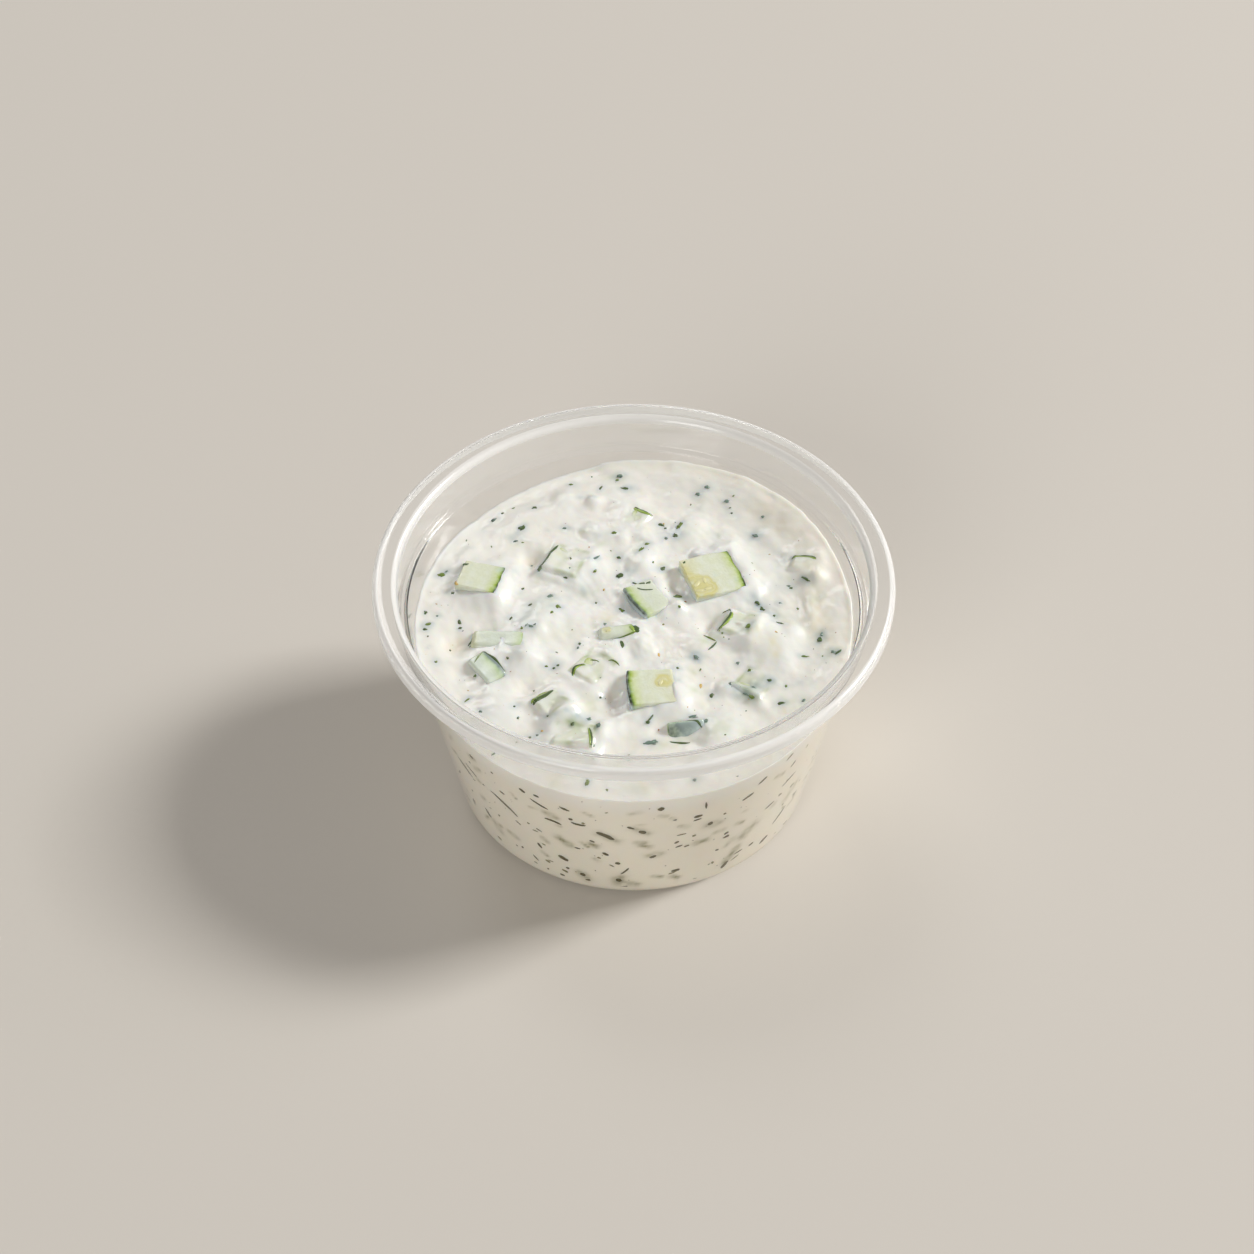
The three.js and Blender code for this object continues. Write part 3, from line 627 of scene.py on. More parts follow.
def cup_profile():
    """The cup's section: up the outside, over the rim and down the inside."""
    return [
        (0, RECESS_DEPTH, 0),
        (RECESS_RADIUS - RECESS_DEPTH, RECESS_DEPTH, 0.5),
        (RECESS_RADIUS, 0, 0.3),
        (outer_wall(0), 0, 2.0),
        (WALL_TOP_RADIUS, LEDGE_Z - SHEET, 0.3),
        (33.55, LEDGE_Z - SHEET / 2, 0.45),
        (34.0, CUP_HEIGHT - SHEET, 0.65),
        (RIM_RADIUS - SHEET, CUP_HEIGHT - SHEET, 0.3),
        (RIM_RADIUS - SHEET, 37.0, 0.26),
        (RIM_RADIUS, 37.0, 0.26),
        (RIM_RADIUS, CUP_HEIGHT, 0.8),
        (33.45, CUP_HEIGHT, 1.2),
        (33.0, LEDGE_Z, 0.35),
        (inner_wall(LEDGE_Z), LEDGE_Z, 0.3),
        (inner_wall(SHEET), SHEET, 1.45),
        (RECESS_RADIUS, SHEET, 0.4),
        (RECESS_RADIUS - RECESS_DEPTH, RECESS_DEPTH + SHEET, 0.4),
        (0, RECESS_DEPTH + SHEET, 0),
    ]


def cup_shape():
    """The cup, with its thick edges and its rim in plastics of their own; the milky edges are partly
    haze and partly a painted highlight.
    """
    bm = turned(rounded(cup_profile(), 5), CUP_STEPS)
    for face in bm.faces:
        middle = face.calc_center_median()
        radius = math.hypot(middle.x, middle.y)
        at_lip = radius > RIM_RADIUS - SHEET - 0.3
        at_inner_edge = middle.z > CUP_HEIGHT - 1.1 and radius < 34.3
        # The lip and the rim's inner edge take the milkiest plastic: partly haze, partly a painted
        # highlight.
        if at_lip or at_inner_edge:
            face.material_index = 2
        elif middle.z > LEDGE_Z - SHEET - 0.2:
            face.material_index = 1
    return bm


PLASTICS = [
    plastic_material("clear plastic wall", 1.0, 0.03),
    plastic_material("clear plastic rim", 0.92, 0.06),
    # The edges: partly haze, partly a painted highlight for the white lines along the rim.
    plastic_material("clear plastic edge with painted highlight", 0.54, 0.15),
]
made_piece("cup_clear", cup_shape(), PLASTICS, ["cup"])

# ---------------- cucumber


def dice_place(dice):
    """How a dice is turned and where its middle is."""
    across, _, deep = dice["size"]
    up = math.radians(dice["up"])
    turn = Euler((math.radians(dice["roll"]), -up, math.radians(dice["turn"])), "XYZ").to_matrix()
    half_height = (deep * math.cos(up) + across * math.sin(abs(up))) / 2
    top = LEVEL + SLOPE * dice["y"] + dice["proud"]
    return np.array(turn), np.array((dice["x"], dice["y"], top - half_height))


def rounded_box(points, half, edge):
    """Moves the points of an even cube to a box with softened edges."""
    cells = (points + 0.5) * DICE_CELLS
    lines = (0, EDGE_CELLS, DICE_CELLS - EDGE_CELLS, DICE_CELLS)
    box = np.empty_like(points)
    for axis in range(3):
        rim = half[axis] - edge
        box[:, axis] = np.interp(cells[:, axis], lines, (-half[axis], -rim, rim, half[axis]))
    inner = np.clip(box, edge - half, half - edge)
    past = box - inner
    length = np.linalg.norm(past, axis=1, keepdims=True)
    return inner + past / np.maximum(length, 1e-9) * np.minimum(length, edge)


def dice_shape(dice, number):
    """A dice in its own axes: +X is the skin side, Y runs along the skin and +Z is the top."""
    bm = bmesh.new()
    bmesh.ops.create_cube(bm, size=1.0)
    bmesh.ops.subdivide_edges(bm, edges=bm.edges, cuts=DICE_CELLS - 1, use_grid_fill=True)
    half = np.array(dice["size"]) / 2
    edge = WORN.get(number, SOFT_EDGE[dice["coat"]])
    co = rounded_box(np.array([v.co for v in bm.verts]), half, edge)
    skinward = (co[:, 0] / half[0] + 1) / 2
    swell = SKIN_ARC - math.sqrt(SKIN_ARC**2 - half[1] ** 2)
    droop = swell * (co[:, 1] / half[1]) ** 2
    skin_depth = half[0] - co[:, 0] + PEELED.get(number, 0)
    co[:, 0] -= droop * skinward
    co[:, 1] *= 1 - BACK_SPLAY * (1 - skinward)
    if number in PULP:
        pulp_x, pulp_y, radius = PULP[number]
        ragged = 0.3 * bumps(co, 0.9, 2.0)
        apart = np.hypot(co[:, 0] - pulp_x, co[:, 1] - pulp_y) / radius + ragged
        pulpy = 1 - smooth_step(0.1, 1.3, apart)
        skin_depth += CORE_DEPTH * pulpy
        co[:, 2] += 0.13 * pulpy * bumps(co, 0.75, 4.0)
    own = np.stack((skin_depth, co[:, 1], co[:, 2]), axis=1)
    wave = 1.9 * bumps(co, 2.6, 7.3 * number)
    ripple = bumps(co, 0.9, 3.1 * number)
    inwards = co / np.maximum(np.linalg.norm(co, axis=1, keepdims=True), 1e-9)
    co -= inwards * (0.06 * (1.2 + wave) + 0.02 * (1 + ripple))[:, None]
    return bm, co, own


def milk_and_light_on(dice, co, own, number):
    """How much raita has smeared each point of a dice, from 0 to 1; on a steeply tilted dice it also
    carries painted light.
    """
    half = np.array(dice["size"]) / 2
    patches = bumps(own, 1.7, 11.9 * number)
    below_top = half[2] - co[:, 2]
    on_skin = 1 - smooth_step(0.05, 0.3, own[:, 0])
    on_side = smooth_step(0.05, 0.3, below_top)
    skin_milk = smooth_step(0.15, 0.5, below_top) * (0.74 + 0.2 * patches)
    side_milk = smooth_step(0.3, 1.6, below_top + 0.6 * patches) * 0.85
    top_milk = smooth_step(0.35, 0.75, patches) * 0.5
    milk_and_light = on_side * side_milk + (1 - on_side) * top_milk
    milk_and_light = np.where(on_skin > 0.5, skin_milk, milk_and_light)
    # On a steeply tilted dice the film is raised, and lighter towards one side: partly a film over the
    # skin, partly painted light that lifts a face lying in shade.
    if dice["up"] > 20:
        milk_and_light = 0.46 + 0.25 * patches + 0.36 * own[:, 1] / half[1]
    milk_and_light = np.maximum(milk_and_light, SMEARED.get(number, 0))
    return np.clip(milk_and_light, 0, 1)


CUCUMBER = cucumber_material()
solid_tops = []
for number, dice in enumerate(DICE, 1):
    shape, own_co, own = dice_shape(dice, number)
    turn, middle = dice_place(dice)
    for vert, place in zip(shape.verts, own_co @ turn.T + middle):
        vert.co = place
    bmesh.ops.recalc_face_normals(shape, faces=shape.faces)
    if dice["coat"] == "bare":
        solid_tops.append(BVHTree.FromBMesh(shape))
    piece = made_piece(f"dice_{number}", shape, [CUCUMBER], [f"cucumber_{number}"])
    keep_values(piece, "own", "FLOAT_VECTOR", own)
    keep_values(piece, "milk_and_light", "FLOAT", milk_and_light_on(dice, own_co, own, number))

# ---------------- raita


def unevenness(x, y):
    """Small hills and hollows of a stirred, settled surface."""
    points = np.stack((x, y, np.zeros_like(x)), axis=1)
    hills = 0.3 * bumps(points, 6.5, 1.0)
    folds = 0.15 * bumps(points, 2.9, 5.0)
    dimples = 0.08 * bumps(points, 1.3, 9.0)
    curdled = np.clip(bumps(points, 7.0, 3.0) + 0.3, 0, 1)
    pocks = (0.02 + 0.07 * curdled) * bumps(points, 0.8, 13.0)
    return hills + folds + dimples + pocks


def box_distance(own, half):
    """Distance outside a box, or minus the depth inside it."""
    past = np.abs(own) - half
    outside = np.linalg.norm(np.maximum(past, 0), axis=1)
    return outside + np.minimum(past.max(axis=1), 0)


def round_dice(number, dice, x, y, z):
    """The surface's height once it has climbed, or covered, one dice."""
    turn, middle = dice_place(dice)
    half = np.array(dice["size"]) / 2
    base = LEVEL + SLOPE * y
    waist = np.stack((x, y, base + 0.3 * dice["proud"]), axis=1)
    apart = box_distance((waist - middle) @ turn, half)
    share, lean, heading = dice["climb"]
    facing = np.arctan2(y - dice["y"], x - dice["x"]) - math.radians(heading)
    ragged = 0.12 * bumps(np.stack((x, y, z), axis=1), 1.6, dice["x"])
    climb = dice["proud"] * (share + lean * np.cos(facing) + ragged)
    reach = COAT_REACH[dice["coat"]]
    climbed = z + climb * np.exp(-((np.maximum(apart, 0) / reach) ** 2))
    normal = turn[:, 2]
    top_middle = middle + normal * half[2]
    across = (x - top_middle[0]) * normal[0] + (y - top_middle[1]) * normal[1]
    top = top_middle[2] - across / normal[2]
    if dice["coat"] == "bare":
        sunk = top - 0.3
        spill = np.maximum(climbed - sunk, 0) * (1 - smooth_step(0.0, SPILL_REACH, -apart))
        return np.where(apart < 0, np.minimum(climbed, sunk) + spill, climbed)
    edge = SOFT_EDGE[dice["coat"]]
    droop = edge * (1 - np.sqrt(1 - np.clip((apart + edge) / edge, 0, 0.95) ** 2))
    cover = 1 - smooth_step(-0.2, COAT_SLOPE, apart)
    film = THICKER_FILM.get(number, COAT_FILM)
    coated = np.maximum(top + film - droop + 2.0 * ragged, climbed)
    return climbed + cover * (coated - climbed)


def bank(x, y, z):
    """How much higher the surface is near the wall."""
    from_wall = (inner_wall(z) - np.hypot(x, y)) / BANK_REACH
    angle = np.degrees(np.arctan2(y, x))
    rise = np.zeros_like(x)
    for heading, spread, height in BANKS:
        apart = (angle - heading + 180) % 360 - 180
        rise += height * np.exp(-((apart / spread) ** 2) - from_wall**2)
    return rise


def surface(x, y):
    """Height of the raita's surface."""
    z = LEVEL + SLOPE * y
    z = z + bank(x, y, z) + unevenness(x, y)
    for lump_x, lump_y, height, spread in [*LUMPS, *SMALL_LUMPS]:
        apart = np.hypot(x - lump_x, y - lump_y) / spread
        z += height * np.exp(-(apart**LUMP_POWER))
    for middle_x, middle_y, length, heading, width, height in RIDGES:
        along, across = turned_offsets(x - middle_x, y - middle_y, heading)
        past = np.maximum(np.abs(along) - length / 2, 0)
        z += height * np.exp(-(across**2 + past**2) / width**2)
    for number, dice in enumerate(DICE, 1):
        z = round_dice(number, dice, x, y, z)
    to_wall = np.maximum(raita_wall(LEVEL + SLOPE * y) - np.hypot(x, y), 0)
    return z + MENISCUS_RISE * np.exp(-to_wall / MENISCUS_REACH)


def spot_within(chance, reach):
    """A place anywhere in a circle round the middle."""
    radius = reach * math.sqrt(chance.random())
    turn = chance.uniform(0, 2 * math.pi)
    return radius * math.cos(turn), radius * math.sin(turn)


def scattered_lumps(chance):
    """Small lumps all over the surface."""
    lumps = []
    for _ in range(MORE_LUMPS):
        place = spot_within(chance, LUMPY_REACH)
        lumps.append((*place, chance.uniform(0.15, 0.6), chance.uniform(1.0, 2.3)))
    return lumps


SMALL_LUMPS = scattered_lumps(random.Random(7))


def raita_profile():
    """The raita's section with a level surface, in close rows and rings."""
    foot = [
        (0, RECESS_DEPTH + SHEET - BITE, 0),
        (RECESS_RADIUS - RECESS_DEPTH, RECESS_DEPTH + SHEET - BITE, 0.4),
        (RECESS_RADIUS, SHEET - BITE, 0.4),
        (raita_wall(SHEET - BITE), SHEET - BITE, 1.55),
        (raita_wall(FOOT_TOP), FOOT_TOP, 0),
    ]
    points = rounded(foot, 6)
    for row in range(1, RAITA_ROWS + 1):
        z = FOOT_TOP + (LEVEL - FOOT_TOP) * row / RAITA_ROWS
        points.append((raita_wall(z), z))
    for ring in range(RAITA_RINGS - 1, -1, -1):
        points.append((raita_wall(LEVEL) * ring / RAITA_RINGS, LEVEL))
    return points


def raita_shape():
    """The raita with its surface raised and hollowed: the shape, and which points are on top."""
    bm = turned(raita_profile(), RAITA_STEPS)
    co = np.array([v.co for v in bm.verts])
    radius = np.hypot(co[:, 0], co[:, 1])
    on_top = co[:, 2] > LEVEL - 1e-3
    on_side = (co[:, 2] > FOOT_TOP - 1e-3) & ~on_top
    heading = co[:, :2] / np.maximum(radius, 1e-9)[:, None]
    moved = on_top | on_side
    edge_radius = np.full(len(co), raita_wall(LEVEL))
    edge_z = np.full(len(co), LEVEL)
    for _ in range(2):
        rim = heading[moved] * edge_radius[moved, None]
        edge_z[moved] = surface(rim[:, 0], rim[:, 1])
        edge_radius[moved] = raita_wall(edge_z[moved])
    share = radius[on_top] / raita_wall(LEVEL)
    co[on_top, :2] = heading[on_top] * (share * edge_radius[on_top])[:, None]
    co[on_top, 2] = surface(co[on_top, 0], co[on_top, 1])
    climb = (co[on_side, 2] - FOOT_TOP) / (LEVEL - FOOT_TOP)
    co[on_side, 2] = FOOT_TOP + climb * (edge_z[on_side] - FOOT_TOP)
    co[on_side, :2] = heading[on_side] * raita_wall(co[on_side, 2])[:, None]
    for vert, place in zip(bm.verts, co):
        vert.co = place
    return bm, co, on_top


SIDE_CREAM = np.array((1.0, 0.945, 0.845))  # the raita's side: a warmer, darker cream the further it lies below the surface's edge
HOLLOW_CREAM = np.array((1.0, 0.984, 0.958))  # the raita where it lies low, a warmer cream: partly its own tone, partly painted shade
CREST_WHITE = np.array((0.99, 1.0, 1.0))  # and where it stands high
TONES = {
    "blue": (0.6, 0.69, 0.74), "green": (0.6, 0.68, 0.42), "olive": (0.3, 0.3, 0.16),
    "flesh": (0.8, 0.84, 0.66), "cream": (0.94, 0.88, 0.76), "yellow": (0.9, 0.84, 0.56),
}
SCATTERED_TONES = ("flesh", "flesh", "green", "yellow", "cream", "blue", "blue")


def darken_along(colour, across, along, length, width, strength, tone):
    """Darkens colours near a short line, given each point's offsets across and along it."""
    past = np.maximum(np.abs(along) - length / 2, 0)
    near = min(strength, 0.95) * np.exp(-(across**2 + past**2) / width**2)
    near = near * (0.75 + 0.35 * np.sin(2.9 * along + 7 * strength) * np.cos(3.7 * across))
    colour *= 1 - near[:, None] * (1 - np.array(TONES[tone]))


def raita_stains_and_shade(co, on_top, chance):
    """Colour of each point of the raita as a share of plain cream: stains, and painted shade in its
    hollows and on a bank at the wall.
    """
    colour = np.ones((len(co), 3))
    x, y, z = co[on_top].T
    level = LEVEL + SLOPE * y
    relief = z - level - bank(x, y, level) + 0.3 * bumps(co[on_top], 4.5, 17.0)
    # High places get a bluish white and low places a warmer cream: partly the raita's own tone, partly
    # painted shade in the hollows.
    crest = smooth_step(-0.3, 1.0, relief)[:, None]
    top = HOLLOW_CREAM * (1 - crest) + CREST_WHITE * crest
    # The deepest hollows are darkened further towards cream: painted shade.
    top *= 1 - 0.7 * smooth_step(0.3, 1.0, -relief)[:, None] * (1 - np.array(TONES["cream"]))
    marks = [(*mark, tone) for tone, group in SUNK_AND_SHADE_MARKS.items() for mark in group]
    for herb_x, herb_y, length, heading, width in HERBS:
        depth = chance.uniform(0.35, 0.8)
        marks.append((herb_x, herb_y, length, heading, width + 0.35, depth, "blue"))
    for _ in range(MORE_SUNK_MARKS):
        place = spot_within(chance, MARKED_REACH)
        size = (chance.uniform(0.1, 1.6), chance.uniform(0, 180), chance.uniform(0.3, 1.1))
        marks.append((*place, *size, chance.uniform(0.1, 0.4), chance.choice(SCATTERED_TONES)))
    for mark_x, mark_y, length, heading, width, strength, tone in marks:
        along, across = turned_offsets(x - mark_x, y - mark_y, heading)
        darken_along(top, across, along, length, width, strength, tone)
    patches = bumps(co[on_top], 1.5, 21.0)
    for dice in DICE:
        if dice["coat"] == "film":
            turn, middle = dice_place(dice)
            half = np.array(dice["size"]) / 2
            own = (co[on_top] - middle) @ turn
            apart = box_distance(own[:, :2], half[:2])
            inside = 1 - smooth_step(-1.4, 0.2, apart)
            through = inside * (0.42 + 0.5 * patches)
            top *= 1 - np.clip(through, 0, 1)[:, None] * (1 - np.array(TONES["flesh"]))
            outline = np.exp(-(((apart + 0.45) / 0.3) ** 2)) * (0.3 + 1.2 * patches)
            if half[:2].min() > 2.1:
                top *= 1 - np.clip(outline, 0, 0.8)[:, None] * (1 - np.array(TONES["green"]))
    colour[on_top] = top
    side = colour[~on_top]
    x, y, z = co[~on_top].T
    angle = np.degrees(np.arctan2(y, x)) % 360
    marks = list(WALL_SUNK)
    for _ in range(MORE_WALL_SUNK):
        place = (chance.uniform(0, 360), chance.uniform(3, 24))
        size = (chance.uniform(0.2, 1.5), chance.uniform(-60, 60), chance.uniform(0.22, 0.55))
        marks.append((*place, *size, chance.uniform(0.2, 0.55)))
    for mark_angle, mark_z, length, tilt, width, strength in marks:
        round_wall = np.radians((angle - mark_angle + 180) % 360 - 180) * raita_wall(mark_z)
        along, across = turned_offsets(round_wall, z - mark_z, tilt)
        darken_along(side, across, along, length, width, 1.7 * strength, "olive")
    level = LEVEL + SLOPE * y
    below_edge = level + bank(x, y, level) - z
    # The side turns a warmer, darker cream the further it lies below the surface's edge.
    far_below_edge = smooth_step(0.0, 5.0, below_edge)[:, None]
    colour[~on_top] = side * (HOLLOW_CREAM * (1 - far_below_edge) + SIDE_CREAM * far_below_edge)
    return np.concatenate((colour, np.ones((len(co), 1))), axis=1)


chance = random.Random(41)
raita_bm, raita_co, raita_on_top = raita_shape()
raita_tree = BVHTree.FromBMesh(raita_bm)
raita_piece = made_piece("raita_body", raita_bm, [raita_material()], ["raita"])
keep_values(raita_piece, "stain_and_shade", "FLOAT_COLOR", raita_stains_and_shade(raita_co, raita_on_top, chance))
keep_values(raita_piece, "dullness", "FLOAT", np.where(raita_on_top, 0.3, 0.6))

# ---------------- herbs and spice


def straight_down(tree, x, y):
    """Where a line straight down first meets a shape, and the way the shape faces there."""
    place, facing, _, _ = tree.ray_cast(Vector((x, y, 60)), Vector((0, 0, -1)))
    return place, facing


def on_top_at(x, y):
    """The highest point at a place, and the way the surface faces there."""
    best, normal = Vector((x, y, 0)), Vector((0, 0, 1))
    for tree in [raita_tree, *solid_tops]:
        place, facing = straight_down(tree, x, y)
        if place is not None and place.z > best.z:
            best, normal = place, facing
    return best, normal


def add_fleck(bm, x, y, length, heading, width, thickness, bend, raggedness, seed):
    """A chopped bit lying on the surface, half sunk in it."""
    place, normal = on_top_at(x, y)
    made = bmesh.ops.create_icosphere(bm, subdivisions=3 if length > 1.0 else 2, radius=1.0)
    turn = math.radians(heading)
    ahead = Vector((math.cos(turn), math.sin(turn), 0))
    ahead = (ahead - normal * ahead.dot(normal)).normalized()
    aside = normal.cross(ahead)
    for vert in made["verts"]:
        a, b, c = vert.co
        rag = 1 + raggedness * noise.noise(Vector((a, b, c)) * 1.5 + Vector((seed * 5.7, 0, 0)))
        along = math.copysign(abs(a) ** 0.8, a) * length / 2 * rag
        across = b * width / 2 * rag + bend * a * a * length
        vert.co = place + ahead * along + aside * across + normal * (c * thickness / 2 - SET_IN)


def add_sliver(bm, start, middle, end, width, shift):
    """A thin curved bit that follows the surface from start to end, by way of the middle."""
    start, middle, end = Vector(start), Vector(middle), Vector(end)
    pull = 2 * middle - (start + end) / 2
    made = bmesh.ops.create_icosphere(bm, subdivisions=3, radius=1.0)
    for vert in made["verts"]:
        a, b, c = vert.co
        t = (a + 1) / 2
        spot = start * (1 - t) ** 2 + pull * (2 * t * (1 - t)) + end * t**2
        ahead = ((pull - start) * (1 - t) + (end - pull) * t).normalized()
        rag = 1 + 0.5 * noise.noise(Vector((a * 3, start.x, start.y)))
        spot += Vector((-ahead.y, ahead.x)) * (b * width / 2 * rag) + Vector(shift)
        place, _ = on_top_at(spot.x, spot.y)
        vert.co = (spot.x, spot.y, place.z + c * SLIVER_THICKNESS / 2)


def add_to_wall(bm, angle, z, length, tilt, width, thickness, bend, raggedness, seed):
    """A bit pressed against the inside of the wall."""
    made = bmesh.ops.create_icosphere(bm, subdivisions=3 if length > 1.6 else 2, radius=1.0)
    cos, sin = math.cos(math.radians(tilt)), math.sin(math.radians(tilt))
    for vert in made["verts"]:
        a, b, c = vert.co
        rag = 1 + raggedness * noise.noise(Vector((a, b, c)) * 1.9 + Vector((seed * 5.7, 0, 0)))
        along = math.copysign(abs(a) ** 0.8, a) * length / 2
        across = b * width / 2 * rag + bend * a * a
        height = max(z + along * sin + across * cos, LOWEST_BIT)
        radius = raita_wall(height) + 0.02 + c * thickness / 2
        turn = math.radians(angle) + (along * cos - across * sin) / radius
        vert.co = (radius * math.cos(turn), radius * math.sin(turn), height)


def random_spot(chance):
    """A place on the surface, clear of the wall and of the bare dice."""
    while True:
        x, y = spot_within(chance, HERB_REACH)
        in_wall = math.hypot(x, y) < raita_wall(LEVEL + SLOPE * y) - CLEAR_OF_WALL
        if in_wall and not over_bare_dice(x, y):
            return x, y


def over_bare_dice(x, y):
    """True where a bare dice is the highest thing."""
    place, _ = on_top_at(x, y)
    below, _ = straight_down(raita_tree, x, y)
    return place.z > below.z + 1e-4


def highest_at_wall(angle):
    """How high a scattered bit may lie against the wall at an angle."""
    return LEVEL + SLOPE * 30.5 * math.sin(math.radians(angle)) - 0.8


leaf_bits = bmesh.new()
fresh_bits = bmesh.new()
sunk_bits = bmesh.new()
for seed, (x, y, length, heading, width) in enumerate(HERBS):
    target = fresh_bits if seed in FRESH_HERBS else leaf_bits
    if target is leaf_bits and chance.random() < SUNK_SHARE:
        target = sunk_bits
    bend = chance.uniform(-0.12, 0.12)
    size = (length * HERB_GROWTH[0], heading, width * HERB_GROWTH[1])
    add_fleck(target, x, y, *size, HERB_THICKNESS, bend, 1.0, seed)
for seed in range(MORE_HERBS):
    x, y = random_spot(chance)
    target = chance.choice((leaf_bits, leaf_bits, fresh_bits, fresh_bits, sunk_bits))
    length = chance.uniform(0.25, 0.65)
    width = length * chance.uniform(0.4, 0.9)
    size = (length, chance.uniform(0, 180), width)
    add_fleck(target, x, y, *size, SMALL_HERB_THICKNESS, 0.1, 0.7, 200 + seed)

lime_bits = bmesh.new()
for start, middle, end, width, lime_heading in SLIVERS:
    target = leaf_bits if width > 0.23 else fresh_bits
    add_sliver(target, start, middle, end, width, (0, 0))
    if lime_heading is not None:
        turn = math.radians(lime_heading)
        offset = 0.45 * width
        shift = (offset * math.cos(turn), offset * math.sin(turn))
        add_sliver(lime_bits, start, middle, end, 0.8 * width, shift)

seed_bits = bmesh.new()
for seed, (x, y, length, heading, width) in enumerate(SEEDS):
    add_fleck(seed_bits, x, y, length, heading, width, SEED_THICKNESS, 0.0, 0.15, 450 + seed)

turmeric_bits = bmesh.new()
chilli_bits = bmesh.new()
for seed, (x, y, size) in enumerate(SPICE):
    target = chilli_bits if seed in RED_SPICE else turmeric_bits
    heading = chance.uniform(0, 180)
    add_fleck(target, x, y, size, heading, size * 0.6, SPICE_THICKNESS, 0.0, 0.8, 500 + seed)
for seed in range(MORE_SPICE):
    x, y = random_spot(chance)
    target = turmeric_bits if chance.random() < 0.6 else chilli_bits
    size = chance.uniform(0.12, 0.28)
    heading = chance.uniform(0, 180)
    add_fleck(target, x, y, size, heading, size * 0.7, SPICE_DUST_THICKNESS, 0.0, 0.8, 600 + seed)

pepper_bits = bmesh.new()
for seed in range(MORE_PEPPER):
    x, y = random_spot(chance)
    size = chance.uniform(0.08, 0.18)
    heading = chance.uniform(0, 180)
    add_fleck(pepper_bits, x, y, size, heading, size * 0.8, SPICE_THICKNESS, 0.0, 0.8, 800 + seed)

wall_dill = bmesh.new()
wall_dill_pale = bmesh.new()
for seed, (angle, z, length, tilt, width, bend) in enumerate(WALL_STRANDS):
    width *= STRAND_GROWTH
    add_to_wall(wall_dill, angle, z, length, tilt, width, STRAND_THICKNESS, bend, 0.45, seed)
for seed in range(MORE_WALL_STRANDS):
    angle = chance.uniform(FRONT[1] - 360, FRONT[0])
    z = chance.uniform(1.6, highest_at_wall(angle))
    length = chance.choice((0.6, 0.9, 1.3, 1.8, 2.6, 3.4)) * chance.uniform(0.8, 1.2)
    swirl = 50 * math.sin(math.radians(2 * angle)) + chance.gauss(0, 22)
    width = chance.uniform(0.2, 0.55)
    target = chance.choice((wall_dill, wall_dill, wall_dill_pale))
    bend = chance.gauss(0, 0.16)
    add_to_wall(target, angle, z, length, swirl, width, STRAND_THICKNESS, bend, 0.8, 50 + seed)
for seed in range(MORE_FRONT_STRANDS):
    angle = chance.uniform(*FRONT)
    z = chance.uniform(1.8, highest_at_wall(angle))
    length = chance.choice((0.4, 0.5, 0.7, 0.9, 1.3)) * chance.uniform(0.8, 1.2)
    tilt = chance.gauss(-40 * math.cos(math.radians(angle - 180)), 18)
    width = chance.uniform(0.22, 0.55)
    target = chance.choice((wall_dill, wall_dill_pale))
    size = (length, tilt, width, FRONT_STRAND_THICKNESS)
    add_to_wall(target, angle, z, *size, 0.0, 0.8, 300 + seed)

wall_pepper = bmesh.new()
for seed in range(MORE_WALL_PEPPER):
    angle = chance.uniform(0, 360)
    z = chance.uniform(1.2, highest_at_wall(angle))
    length = chance.uniform(0.1, 0.24)
    tilt = chance.uniform(0, 180)
    size = (length, tilt, length * 0.7, WALL_PEPPER_THICKNESS)
    add_to_wall(wall_pepper, angle, z, *size, 0.0, 0.6, 900 + seed)

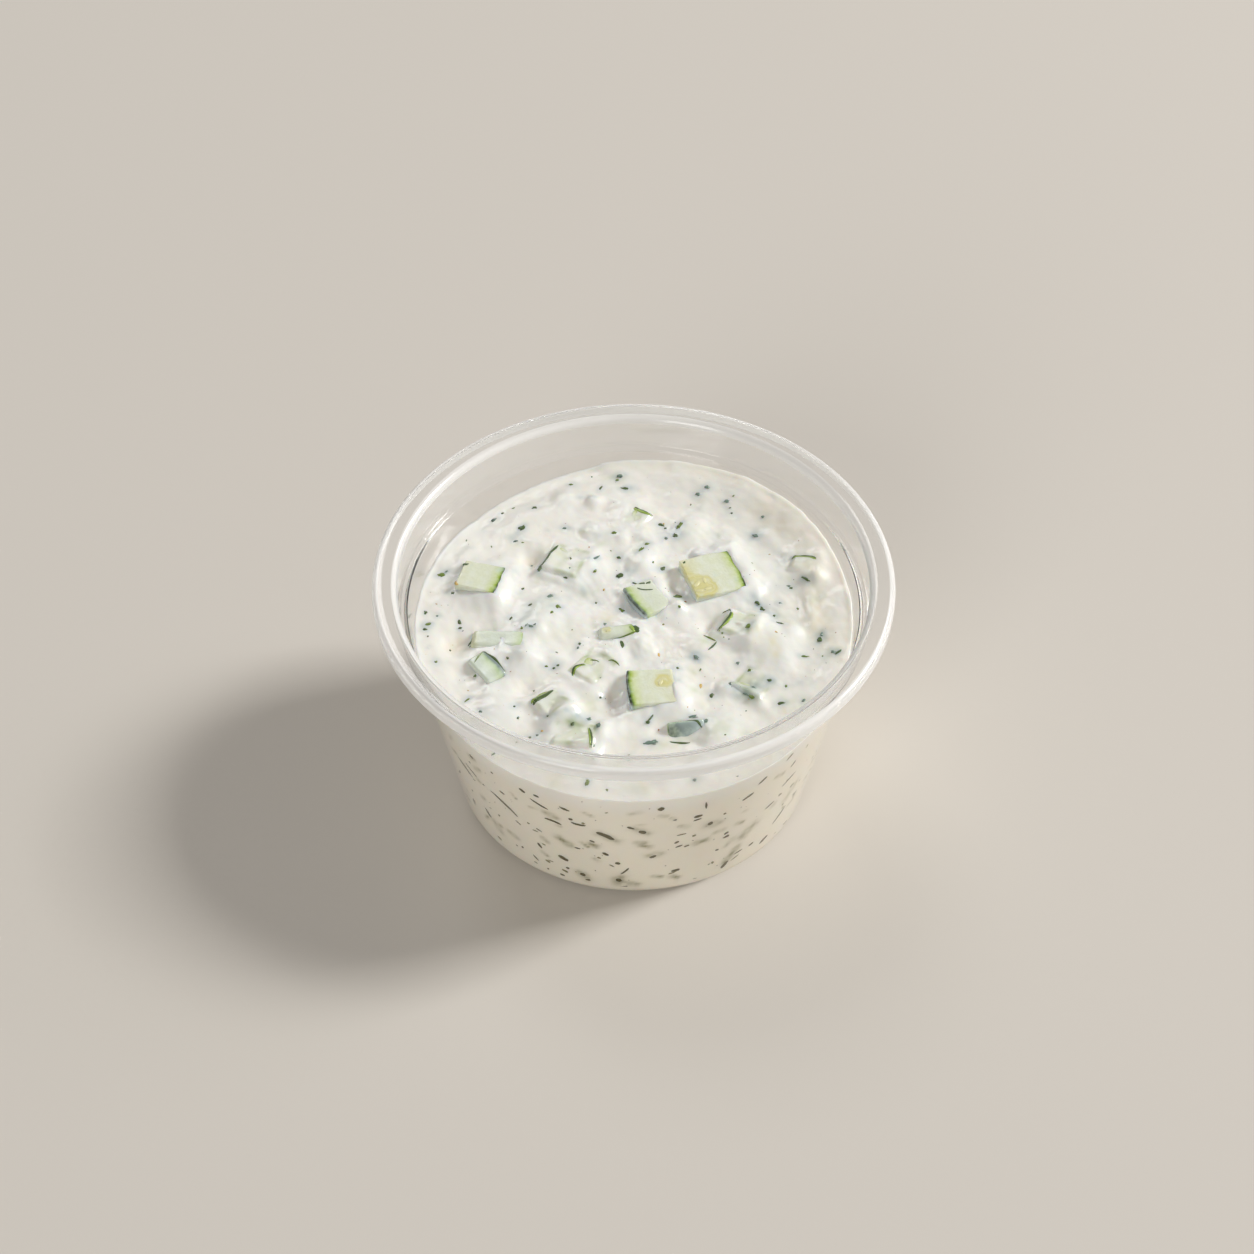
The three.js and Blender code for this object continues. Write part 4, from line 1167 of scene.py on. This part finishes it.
# The pieces that the bits make: name, shape, finish, its colour, roughness and coat, and slot
BITS = [
    ("herb_bits", leaf_bits, "chopped herb", (74, 96, 50), 0.4, 0.4, "herb"),
    ("fresh_herb_bits", fresh_bits, "fresh herb", (104, 126, 48), 0.4, 0.4, "herb"),
    ("sunk_herb_bits", sunk_bits, "herb under a film of raita", (112, 134, 122), 0.35, 0.4, "herb"),
    ("cucumber_seeds", seed_bits, "cucumber seed", (224, 220, 168), 0.2, 0.6, "cucumber"),
    ("lime_skin_bits", lime_bits, "green flesh under the skin", (150, 176, 74), 0.35, 0.4, "cucumber"),
    ("yellow_spice", turmeric_bits, "yellow spice", (208, 176, 108), 0.6, 0.1, "spice"),
    ("red_spice", chilli_bits, "red spice", (162, 114, 74), 0.6, 0.1, "spice"),
    ("pepper", pepper_bits, "ground pepper", (84, 66, 46), 0.6, 0.1, "spice"),
    ("wall_dill", wall_dill, "dill at the wall", (80, 72, 24), 0.5, 0.0, "herb"),
    ("wall_dill_pale", wall_dill_pale, "pale dill at the wall", (128, 120, 72), 0.5, 0.0, "herb"),
    ("wall_pepper", wall_pepper, "ground pepper at the wall", (84, 66, 46), 0.6, 0.1, "spice"),
]
for name, shape, finish, colour, roughness, coat, slot in BITS:
    made_piece(name, shape, [plain_material(finish, tint(*colour), roughness, coat)])

# ---------------- studio


def add_softbox(name, place, size, power, colour):
    """A square lamp that faces the raita."""
    lamp = bpy.data.lights.new(name, "AREA")
    lamp.shape = "SQUARE"
    lamp.size = size
    lamp.energy = power
    lamp.color = colour
    box = added(name, lamp)
    box.location = place
    box.rotation_euler = (Vector((0, 0, 0.028)) - Vector(place)).to_track_quat("-Z", "Y").to_euler()


def add_floor():
    """A wide pale floor."""
    bm = bmesh.new()
    bmesh.ops.create_grid(bm, x_segments=1, y_segments=1, size=6.0)
    floor = added_shape("floor", bm, [plain_material("floor", tint(208, 203, 196), 0.8, 0.0)])


def add_camera():
    """The camera that took the photograph, from a fit to the cup's outline."""
    data = bpy.data.cameras.new("camera")
    data.lens = 86.12
    data.sensor_width = 36.0
    data.clip_start = 0.01
    data.clip_end = 100.0
    camera = added("camera", data)
    camera.location = (-0.0009315, -0.300756, 0.337638)
    camera.rotation_euler = (math.radians(44.22), 0, 0)
    bpy.context.scene.camera = camera


add_floor()
add_softbox("key", (2.05, 0.62, 1.38), 0.58, 60.0, (1.0, 0.985, 0.96))
add_softbox("back", (-0.6, 1.3, 1.3), 0.7, 5.0, (1.0, 1.0, 1.0))
add_softbox("front", (-0.9, -1.9, 0.9), 1.0, 17.0, (1.0, 0.99, 0.97))
add_camera()

world = bpy.data.worlds.new("studio")
world.use_nodes = True
set_inputs(world.node_tree.nodes["Background"], Color=(1.0, 0.95, 0.885, 1), Strength=0.26)
bpy.context.scene.world = world
bpy.context.scene.view_settings.view_transform = "Standard"
